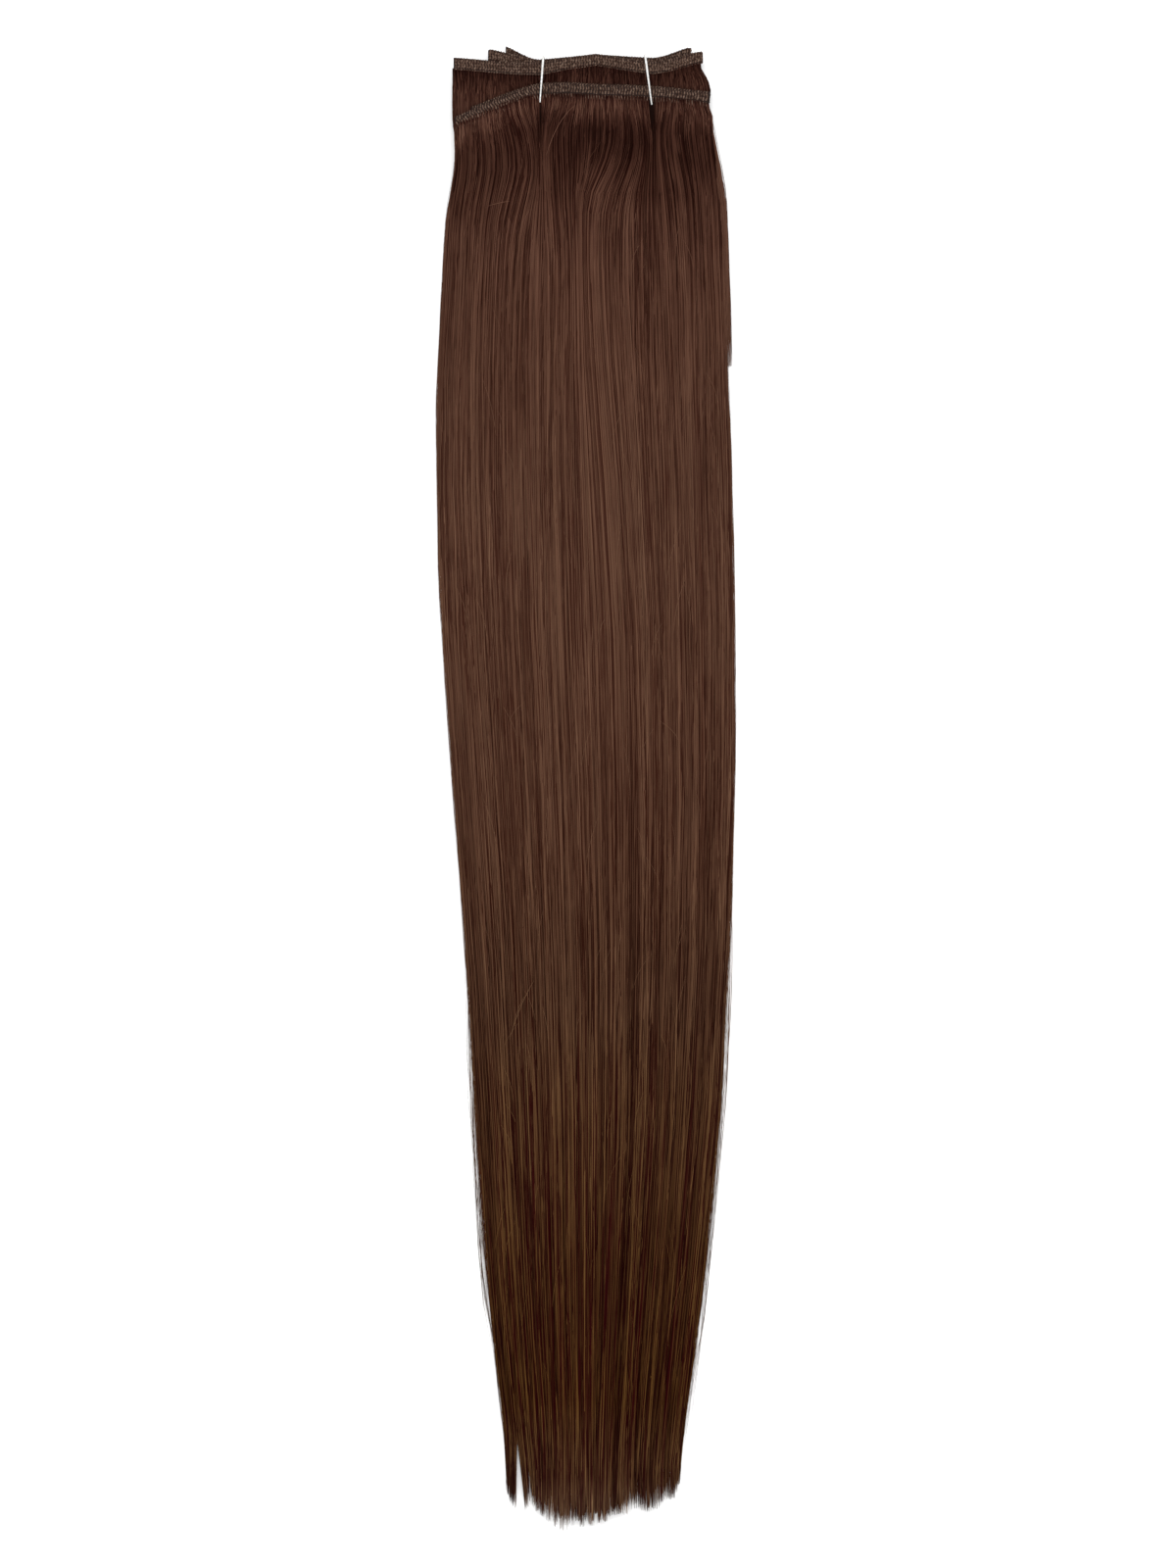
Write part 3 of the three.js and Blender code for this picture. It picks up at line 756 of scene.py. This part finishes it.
def swept_strands(coat, layer, rng, locks, count):
    """Strands that are combed over the others in the middle, in a long S."""
    shares = np.sort(rng.triangular(-0.06, 0.22, 0.5, count))
    lock = locks.nearest(shares)
    t, top, y = hung(rng, layer, locks, shares, LONG_STEPS)
    share = shares[:, None] + STRAY["own"] * waves(rng, count, t, 8, 22) * ease(t * 9)
    lift = rng.uniform(0.1, 0.75, (count, 1)) * MM * ease(t * 14) * (1 - ease((t - 0.3) / 0.5))
    x, z, light = laid(layer, share, y, lift, uneven_of(rng, locks, lock))
    widths = widths_of(rng, "long", count)
    light = (1 - (1 - light) * 0.7) * locks.glow(lock[:, None], 0, y)
    rolls = rng.normal(0, 0.35, count)
    tones = tones_of(rng, locks, lock)
    coat.strands((bunched(x, top - y), y, z), widths, rolls, taper(LONG_STEPS), tones, light)


def side_strands(coat, layer, rng, locks, count):
    """Strands down the two sides, turned to face outwards."""
    side = np.repeat((-1.0, 1.0), count // 2)
    shares = side * (1 + rng.uniform(-0.012, 0.008, count))
    t, _, y = hung(rng, layer, locks, shares, INNER_STEPS)
    share = shares[:, None] + 0.007 * waves(rng, count, t, 12, 24) * ease(t * 9)
    x, high, light = laid(layer, share, y, 0)
    low = layer.height(layer.bottoms, np.clip(share, -1, 1), y)
    deep = rng.uniform(-0.1, 1.1, (count, 1))
    z = np.maximum(high * (1 - deep) + low * deep, 0.15 * MM)
    widths = widths_of(rng, "side", count)
    rolls = side * rng.uniform(0.5, 1.4, count)
    tones = tones_of(rng, locks, locks.nearest(shares))
    coat.strands((x, y, z), widths, rolls, taper(INNER_STEPS), tones, light * SIDE_LIGHT)


def fringe_strands(coat, layer, rng, side, begin, end, reach, count):
    """Single hairs that stand off a side."""
    t = SINGLE_STEPS[None, :]
    length = np.minimum(rng.uniform(35, 140, (count, 1)) * MM, end - begin)
    y = TOP - begin - rng.uniform(0, 1, (count, 1)) * (end - begin - length) - t * length
    far = reach * rng.uniform(0, 1, (count, 1)) ** 1.4
    off = far * np.sin(t * math.pi * rng.uniform(0.55, 1, (count, 1)))
    x = wisped(layer.x(side * 0.99, y), y) + side * off
    deep = rng.uniform(0, 1, (count, 1))
    high = layer.height(layer.tops, side * 0.97, y)
    low = layer.height(layer.bottoms, side * 0.97, y)
    z = np.maximum(high * (1 - deep) + low * deep, 0.3 * MM)
    thick = rng.uniform(0, 1, count) < THICK_FRINGE["share"]
    widths = np.where(thick, THICK_FRINGE["width"] * MM, widths_of(rng, "fringe", count))
    tones = rng.uniform(0.3, 0.99, count)
    rolls = rng.normal(0, 0.3, count)
    coat.strands((x, y, z), widths, rolls, pointed(SINGLE_STEPS, 0.5, 0.3), tones, np.ones_like(z))


def crossing_strands(coat, layer, rng, count):
    """Short single hairs that lie across the others."""
    shares = rng.uniform(-0.9, 0.9, count)
    t = SINGLE_STEPS[None, :]
    top = layer.root(shares)
    length = rng.uniform(8, 30, count) * MM
    start = rng.uniform(0.02, 0.97, count) * (top - layer.tips(shares) - RAGGED - length)
    y = (top - start)[:, None] - t * length[:, None]
    lean = rng.normal(0, 0.07, (count, 1))
    share = shares[:, None] + lean * (t - 0.5) + 0.02 * np.sin(t * 3) * np.sign(lean)
    lift = (0.45 + 0.35 * np.sin(t * math.pi)) * MM
    x, z, light = laid(layer, np.clip(share, -1, 1), y, lift)
    widths = widths_of(rng, "crossing", count)
    tones = rng.uniform(0.8, 0.99, count)
    rolls = rng.normal(0, 0.3, count)
    coat.strands((x, y, z), widths, rolls, pointed(SINGLE_STEPS, 0.5, 0.2), tones, 0.4 + 0.8 * light)


def loose_strands(coat, layer):
    """The loose hairs that stand out on the front, each on a curve through three points."""
    t = SINGLE_STEPS[None, :, None]
    first, middle, last = (np.array(LOOSE)[:, i, None] * MM for i in range(3))
    bend = 2 * middle - (first + last) / 2
    path = (1 - t) ** 2 * first + 2 * t * (1 - t) * bend + t ** 2 * last
    x, y = path[:, :, 0], path[:, :, 1]
    share = (x - layer.along(layer.middles, y)) / layer.along(layer.halves, y)
    z = layer.height(layer.tops, share, y) + 0.8 * MM
    same = np.ones(len(LOOSE))
    shape = pointed(SINGLE_STEPS, 0.4, 0.4)
    # The loose hairs get painted highlight: their light is 1.3, above the 1 of unshaded hair.
    coat.strands((x, y, z), LOOSE_WIDTH * same, 0 * same, shape, 0.95 * same, np.full_like(z, 1.3))


def add_object(name, data):
    piece = bpy.data.objects.new(name, data)
    bpy.context.scene.collection.objects.link(piece)
    return piece


def add_mesh(name, vertices, faces, material):
    mesh = bpy.data.meshes.new(name)
    mesh.from_pydata(vertices.tolist(), [], faces.tolist())
    mesh.materials.append(material)
    mesh.shade_smooth()
    piece = add_object(name, mesh)
    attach(piece, "root")
    return piece


def add_map(piece, name, places):
    """A UV map from a place for each vertex."""
    corners = np.empty(len(piece.data.loops), int)
    piece.data.loops.foreach_get("vertex_index", corners)
    layer = piece.data.uv_layers.new(name=name)
    layer.data.foreach_set("uv", places[corners].reshape(-1).astype(np.float32))


def add_value(piece, name, values):
    """A value for each vertex, which its material reads."""
    attribute = piece.data.attributes.new(name, "FLOAT", "POINT")
    attribute.data.foreach_set("value", values.astype(np.float32))


def add_hair():
    for seed, (node, (long, edge_share, short, side)) in enumerate(HAIR.items()):
        rng = np.random.default_rng(seed + 1)
        layer = Layer(node, "front_track" if node.startswith("front") else "stack_track")
        steps = LONG_STEPS if layer.outer else INNER_STEPS
        locks = Locks(rng, LOCKS[layer.outer])
        coat = Coat()
        shell(coat, layer, rng, *SHELL[layer.outer])
        long_strands(coat, layer, rng, locks, long, edge_share, steps)
        if short:
            short_strands(coat, layer, rng, locks, short)
        side_strands(coat, layer, rng, locks, side)
        coat.piece(f"{node}_strands", node)
        if layer.outer:
            add_top(node, layer, rng, locks)


def add_top(node, layer, rng, locks):
    """The strands and single hairs that lie on the uppermost hair."""
    top = Coat()
    swept_strands(top, layer, rng, locks, SWEPT)
    short_strands(top, layer, rng, locks, SHORT_ON_TOP)
    surfacing_strands(top, layer, rng, locks, SURFACING)
    top.piece(f"{node}_surface_strands", node)
    fine = Coat()
    surfacing_strands(fine, layer, rng, locks, FINE)
    for fringe in FRINGES:
        fringe_strands(fine, layer, rng, *fringe)
    crossing_strands(fine, layer, rng, CROSSING)
    loose_strands(fine, layer)
    fine.piece(f"{node}_fine_strands", node)


BEAD_SIDES = 5


def bead():
    """A long rounded bead of unit length along X: points and triangles."""
    turns = [2 * math.pi * side / BEAD_SIDES for side in range(BEAD_SIDES)]
    points = [(-0.5, 0, 0)]
    for along in (-0.25, 0.25):
        points += [(along, 0.5 * math.cos(turn), 0.5 * math.sin(turn)) for turn in turns]
    points.append((0.5, 0, 0))
    last = len(points) - 1
    faces = []
    for side in range(BEAD_SIDES):
        a, b = 1 + side, 1 + (side + 1) % BEAD_SIDES
        c, d = a + BEAD_SIDES, b + BEAD_SIDES
        faces += [(0, b, a), (a, b, d), (a, d, c), (last, c, d)]
    return np.array(points), np.array(faces)


def beads(centres, along, lengths, widths, heights):
    """Beads at places, each laid along a direction: vertices and triangles."""
    points, faces = bead()
    along = unit(along)
    up = np.zeros_like(along)
    up[:, 2] = 1
    flat = np.abs(along[:, 2]) > 0.7
    up[flat] = (0, 1, 0)
    side = unit(np.cross(up, along))
    high = np.cross(along, side)
    vertices = (
        centres[:, None]
        + points[None, :, 0:1] * lengths[:, None, None] * along[:, None]
        + points[None, :, 1:2] * widths[:, None, None] * side[:, None]
        + points[None, :, 2:3] * heights[:, None, None] * high[:, None]
    )
    first = np.arange(len(centres))[:, None, None] * len(points)
    light = np.ones(len(points))
    # The bead's two ends get painted shade.
    light[[0, -1]] = BEAD_END_LIGHT
    return vertices.reshape(-1, 3), (faces[None] + first).reshape(-1, 3), np.tile(light, len(centres))


def track_runs(node):
    """The runs of a folded track, from the lowest: x, low y and high y at places along, and its top."""
    points, edges, faces = mesh_arrays(node)
    low, high = points[:, 2].min(), points[:, 2].max()
    runs = RUNS[node]
    for run in range(runs):
        base = low + (high - low - BAND) * run / (runs - 1)
        near = np.abs(points[:, 2] - base - BAND / 2) < BAND
        xs = np.linspace(points[near, 0].min() + 0.4 * MM, points[near, 0].max() - 0.4 * MM, 160)
        rows = []
        for x in xs:
            section = crossings(edges, 0, x)
            inside = np.abs(section[:, 2] - base - BAND / 2) < BAND / 2 + 0.05 * MM
            if inside.any():
                ys = section[inside, 1]
                rows.append((x, ys.min(), ys.max()))
        yield np.array(rows), base + BAND


def along_run(rows, pitch):
    """Places along a run at a pitch: x, low y, high y and the direction there."""
    path = np.stack([rows[:, 0], (rows[:, 1] + rows[:, 2]) / 2], axis=1)
    steps = np.linalg.norm(np.diff(path, axis=0), axis=1)
    distance = np.concatenate([[0], np.cumsum(steps)])
    at = np.arange(pitch / 2, distance[-1], pitch)
    x, low, high = (np.interp(at, distance, rows[:, i]) for i in range(3))
    slope = np.gradient((low + high) / 2, x)
    direction = unit(np.stack([np.ones_like(slope), slope], axis=1))
    return x, low, high, direction


def stitch_rows(rng, rows, top, node):
    """The stitches on a run: rows of slanting beads, and its edges' loops or comb teeth."""
    x, low, high, direction = along_run(rows, PITCH[node])
    across = np.stack([-direction[:, 1], direction[:, 0]], axis=1)
    count = len(x)
    for share, turn, *sizes in STITCHES[node]:
        length, width, height, shift, rise = np.array(sizes) * MM
        centre = np.stack([x, low + (high - low) * share, np.full(count, top + rise)], axis=1)
        centre[:, :2] += direction * shift
        centre += rng.normal(0, STITCH_STRAY, centre.shape)
        turns = math.radians(turn) + rng.normal(0, STITCH_TURN, count)
        flat = direction * np.cos(turns)[:, None] + across * np.sin(turns)[:, None]
        along = np.concatenate([flat, np.zeros((count, 1))], axis=1)
        size = rng.uniform(0.88, 1.12, count)
        yield beads(centre, along, length * size, np.full(count, width), np.full(count, height))


def add_stitches():
    for seed, node in enumerate(RUNS):
        rng = np.random.default_rng(seed + 40)
        vertices, faces, lights, count = [], [], [], 0
        for rows, top in track_runs(node):
            for v, f, light in stitch_rows(rng, rows, top, node):
                vertices.append(v)
                faces.append(f + count)
                lights.append(light)
                count += len(v)
        vertices = np.concatenate(vertices)
        piece = add_mesh(f"{node}_stitches", vertices, np.concatenate(faces), MATERIALS["thread"])
        plan = vertices[:, :2]
        low, high = plan.min(0), plan.max(0)
        add_map(piece, "plan", plan / MM)
        add_value(piece, "light", np.concatenate(lights))
        add_map(piece, "OFBake", (plan - low) / (high - low))


TIE_BEND = 1.2 * MM
TWIST = 1.05 * MM
PLY_SIDES = 6
PLY_REACH = 0.24  # from a tie's middle line to a ply's, and a ply's radius, as shares of its thickness
PLY_RADIUS = 0.27
BEND_STEPS = 6
TWIST_STEPS = 8


def tie_loop(tie):
    """A tie's middle line as even points, its twists, and how far each point is from where it dives."""
    low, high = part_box(tie)
    half = TIE_THICKNESS / 2
    lean = TIES[tie]["lean"]
    xs = (low.x + half, high.x - half) if lean > 0 else (high.x - half, low.x + half)
    near = np.array((xs[0], low.y + half))
    far = np.array((xs[1], high.y - half))
    length = np.linalg.norm(far - near)
    bottom, top = low.z + half, high.z - half
    corners = ((0, bottom), (length, bottom), (length, top), (0, top))
    path = []
    for corner, (s, z) in enumerate(corners):
        centre_s = s + TIE_BEND * (1 if s == 0 else -1)
        centre_z = z + TIE_BEND * (1 if z == bottom else -1)
        for step in range(BEND_STEPS + 1):
            angle = math.pi + 0.5 * math.pi * (corner + step / BEND_STEPS)
            path.append((centre_s + TIE_BEND * math.cos(angle), centre_z + TIE_BEND * math.sin(angle)))
    path = np.array(path + path[:1])
    distance = np.concatenate([[0], np.cumsum(np.linalg.norm(np.diff(path, axis=0), axis=1))])
    turns = round(distance[-1] / TWIST)
    at = np.linspace(0, distance[-1], turns * TWIST_STEPS + 1)[:-1]
    s, z = np.interp(at, distance, path[:, 0]), np.interp(at, distance, path[:, 1])
    plan = near + (far - near) / length * s[:, None]
    return np.concatenate([plan, z[:, None]], axis=1), turns, s / length


def loop_frame(path):
    """A flat loop's directions: along it at each point, and across its plane."""
    tangent = unit(np.roll(path, -1, axis=0) - np.roll(path, 1, axis=0))
    plane = np.cross(path[0] - path[len(path) // 3], path[0] - path[2 * len(path) // 3])
    return tangent, unit(plane)


def tube(path, radii, sides):
    """A closed tube round a loop of points."""
    tangent, plane = loop_frame(path)
    out = unit(np.cross(tangent, np.broadcast_to(plane, path.shape)))
    side = np.cross(out, tangent)
    turns = np.arange(sides) / sides * 2 * math.pi
    ring = np.cos(turns)[None, :, None] * side[:, None] + np.sin(turns)[None, :, None] * out[:, None]
    vertices = (path[:, None] + ring * radii[:, None, None]).reshape(-1, 3)
    i, j = np.meshgrid(np.arange(len(path)), np.arange(sides), indexing="ij")
    after, beside = (i + 1) % len(path), (j + 1) % sides
    faces = np.stack([i * sides + j, i * sides + beside, after * sides + beside, after * sides + j], axis=-1)
    return vertices, faces.reshape(-1, 4)


def add_ties():
    """Each tie as two plies that twist round each other, thinner where the tie dives into the hair."""
    for tie in TIES:
        path, turns, share = tie_loop(tie)
        thickness = TIE_THICKNESS * (0.52 + 0.26 * ease(share * 1.3))
        tangent, plane = loop_frame(path)
        out = np.cross(tangent, plane)
        angle = np.arange(len(path)) / len(path) * turns * 2 * math.pi
        vertices, faces, count = [], [], 0
        for ply in range(2):
            turn = (angle + ply * math.pi)[:, None]
            middle = path + (np.cos(turn) * plane + np.sin(turn) * out) * (PLY_REACH * thickness)[:, None]
            v, f = tube(middle, PLY_RADIUS * thickness, PLY_SIDES)
            vertices.append(v)
            faces.append(f + count)
            count += len(v)
        vertices, faces = np.concatenate(vertices), np.concatenate(faces)
        piece = add_mesh(f"{tie}_cord", vertices, faces, MATERIALS["elastic"])
        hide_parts(tie)


class Nodes:
    """A short way to write a node material."""

    def __init__(self, name):
        self.material = bpy.data.materials.new(name)
        self.material.use_nodes = True
        self.tree = self.material.node_tree
        self.shader = self.tree.nodes["Principled BSDF"]

    def add(self, kind, inputs=(), **settings):
        node = self.tree.nodes.new(kind)
        for key, value in settings.items():
            setattr(node, key, value)
        for key, value in dict(inputs).items():
            self.set(node.inputs[key], value)
        return node

    def set(self, socket, value):
        if isinstance(value, bpy.types.NodeSocket):
            self.tree.links.new(value, socket)
        else:
            socket.default_value = value

    def math(self, operation, a, b=0.0, c=0.0):
        node = self.add("ShaderNodeMath", operation=operation)
        for socket, value in zip(node.inputs, (a, b, c)):
            self.set(socket, value)
        return node.outputs[0]

    def ramp(self, factor, stops):
        node = self.add("ShaderNodeValToRGB", {"Fac": factor})
        elements = node.color_ramp.elements
        while len(elements) < len(stops):
            elements.new(1)
        for element, (place, colour) in zip(elements, stops):
            element.position = place
            element.color = (*colour, 1)
        return node.outputs["Color"]

    def noise(self, place, scale, detail):
        inputs = {"Vector": place, "Scale": scale, "Detail": detail}
        return self.add("ShaderNodeTexNoise", inputs).outputs["Fac"]

    def attribute(self, name):
        return self.add("ShaderNodeAttribute", attribute_name=name).outputs["Fac"]

    def mix(self, blend, factor, a, b):
        node = self.add("ShaderNodeMix", data_type="RGBA", blend_type=blend)
        for name, kind, value in (("Factor", "VALUE", factor), ("A", "RGBA", a), ("B", "RGBA", b)):
            socket = [s for s in node.inputs if s.name == name and s.type == kind][0]
            self.set(socket, value)
        return [s for s in node.outputs if s.type == "RGBA"][0]

    def finish(self, colour, roughness, specular):
        self.set(self.shader.inputs["Base Color"], colour)
        self.shader.inputs["Roughness"].default_value = roughness
        self.shader.inputs["Specular IOR Level"].default_value = specular
        return self.material


def grey(value):
    return (value, value, value)


STREAKS = 48  # along the whole hair
STREAK_STRENGTH = 0.9
SHADE_POWERS = {"X": 0.92, "Y": 1.1, "Z": 1.12}  # shaded hair keeps more of its red


def hair_material():
    """Brown hair, redder and lighter above, darker and more olive towards the tips, with painted light
    through the thin ends.
    """
    nodes = Nodes("hair")
    place = nodes.add("ShaderNodeUVMap", uv_map="strand").outputs["UV"]
    down = nodes.add("ShaderNodeSeparateXYZ", {"Vector": place}).outputs["Y"]
    tone, light_left = nodes.attribute("tone"), nodes.attribute("light")
    stretched = nodes.add("ShaderNodeMapping", {"Vector": place, "Scale": (1, STREAKS, 1)})
    streaks = nodes.noise(stretched.outputs["Vector"], 1.0, 3.0)
    # The stops at 0.93 and 0.96 in both ramps are painted light, shining through the thin ends.
    light = nodes.ramp(down, (
        (0, (0.084, 0.039, 0.027)), (0.115, (0.092, 0.043, 0.028)), (0.184, (0.088, 0.041, 0.026)),
        (0.311, (0.099, 0.049, 0.030)), (0.50, (0.096, 0.047, 0.028)), (0.63, (0.095, 0.047, 0.025)),
        (0.69, (0.098, 0.049, 0.021)), (0.786, (0.077, 0.036, 0.0115)), (0.881, (0.069, 0.031, 0.008)),
        (0.93, (0.100, 0.051, 0.021)), (0.96, (0.150, 0.086, 0.046)),
    ))
    dark = nodes.ramp(down, (
        (0, (0.016, 0.004, 0.003)), (0.115, (0.019, 0.005, 0.003)), (0.184, (0.025, 0.008, 0.0045)),
        (0.311, (0.031, 0.010, 0.006)), (0.50, (0.024, 0.006, 0.003)), (0.63, (0.017, 0.004, 0.002)),
        (0.69, (0.017, 0.002, 0.0015)), (0.786, (0.016, 0.0008, 0.0012)), (0.881, (0.015, 0.0006, 0.001)),
        (0.93, (0.018, 0.002, 0.002)), (0.96, (0.045, 0.017, 0.011)),
    ))
    darker = nodes.ramp(down, ((0.5, grey(0.46)), (0.8, grey(0.62))))
    strength = nodes.math("MULTIPLY", nodes.ramp(down, (
        (0, grey(0.86)), (0.08, grey(0.8)), (0.16, grey(0.38)), (0.5, grey(0.44)), (0.7, grey(0.66)),
        (0.85, grey(0.8)), (0.95, grey(0.95)),
    )), 3)
    varied = nodes.math("MULTIPLY", nodes.math("SUBTRACT", tone, darker), strength)
    share = nodes.math("MULTIPLY_ADD", streaks, STREAK_STRENGTH, varied)
    colour = nodes.mix("MIX", nodes.add("ShaderNodeClamp", {"Value": share}).outputs[0], dark, light)
    shade = nodes.add("ShaderNodeCombineXYZ", {
        channel: nodes.math("POWER", light_left, power) for channel, power in SHADE_POWERS.items()
    })
    colour = nodes.mix("MULTIPLY", 1.0, colour, shade.outputs[0])
    nodes.shader.inputs["Specular Tint"].default_value = (1, 0.5, 0.4, 1)
    return nodes.finish(colour, 0.4, 0.03)


def floor_material():
    nodes = Nodes("floor")
    return nodes.finish((0.96, 0.96, 0.96, 1), 0.9, 0.2)


def stitch_material():
    """Thread in blotches of brown, with painted shade where one bead goes under the next."""
    nodes = Nodes("thread")
    noise = nodes.noise(nodes.add("ShaderNodeUVMap", uv_map="plan").outputs["UV"], 0.85, 3.0)
    stops = ((0.36, (0.028, 0.013, 0.008)), (0.5, (0.07, 0.04, 0.028)), (0.64, (0.14, 0.09, 0.066)))
    light = nodes.attribute("light")
    shade = nodes.add("ShaderNodeCombineXYZ", {"X": light, "Y": light, "Z": light})
    colour = nodes.mix("MULTIPLY", 1.0, nodes.ramp(noise, stops), shade.outputs[0])
    return nodes.finish(colour, 0.7, 0.08)


def shaded_band_material():
    """The inside of a track under its stitches, dark brown to nearly black: painted shade between the
    stitches.
    """
    nodes = Nodes("band")
    noise = nodes.noise(nodes.add("ShaderNodeTexCoord").outputs["Object"], 1300.0, 3.0)
    colour = nodes.ramp(noise, ((0.3, (0.008, 0.004, 0.003)), (0.7, (0.02, 0.01, 0.007))))
    return nodes.finish(colour, 0.7, 0.08)


def elastic_material():
    nodes = Nodes("elastic")
    noise = nodes.noise(nodes.add("ShaderNodeTexCoord").outputs["Object"], 1500.0, 2.0)
    colour = nodes.ramp(noise, ((0.3, (0.52, 0.51, 0.49)), (0.7, (0.86, 0.86, 0.85))))
    return nodes.finish(colour, 0.5, 0.3)


MATERIALS = {
    "hair": hair_material(),
    "thread": stitch_material(),
    "band": shaded_band_material(),
    "elastic": elastic_material(),
    "floor": floor_material(),
}


def dress_tracks():
    for node in RUNS:
        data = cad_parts[node].data
        data.materials.clear()
        data.materials.append(MATERIALS["band"])


def add_camera():
    data = bpy.data.cameras.new("camera")
    data.lens = LENS
    data.sensor_width = SENSOR
    data.clip_end = 10
    camera = add_object("camera", data)
    distance = PICTURE_HEIGHT * LENS / SENSOR
    camera.location = (0, PICTURE_MIDDLE, distance)
    bpy.context.scene.camera = camera


def add_floor():
    half = 3
    corners = [(-half, -half, 0), (half, -half, 0), (half, half, 0), (-half, half, 0)]
    mesh = bpy.data.meshes.new("floor")
    mesh.from_pydata(corners, [], [(0, 1, 2, 3)])
    mesh.materials.append(MATERIALS["floor"])
    floor = add_object("floor", mesh)
    floor.location.z = -0.2 * MM


def add_light(name, place, size, power):
    data = bpy.data.lights.new(name, "AREA")
    data.shape = "DISK"
    data.size = size
    data.energy = power
    light = add_object(name, data)
    light.location = place
    light.rotation_euler = (-Vector(place)).to_track_quat("-Z", "Y").to_euler()


def add_lights():
    add_light("key", (-0.1, 0.7, 1.8), 1.1, 27)
    add_light("fill", (0.9, -0.5, 1.5), 1.2, 8)
    world = bpy.data.worlds.new("studio")
    world.use_nodes = True
    background = world.node_tree.nodes["Background"]
    background.inputs["Color"].default_value = (1, 1, 1, 1)
    background.inputs["Strength"].default_value = 0.78
    bpy.context.scene.world = world
    bpy.context.scene.view_settings.view_transform = "Standard"


add_camera()
add_floor()
add_lights()
add_hair()
add_stitches()
add_ties()
dress_tracks()
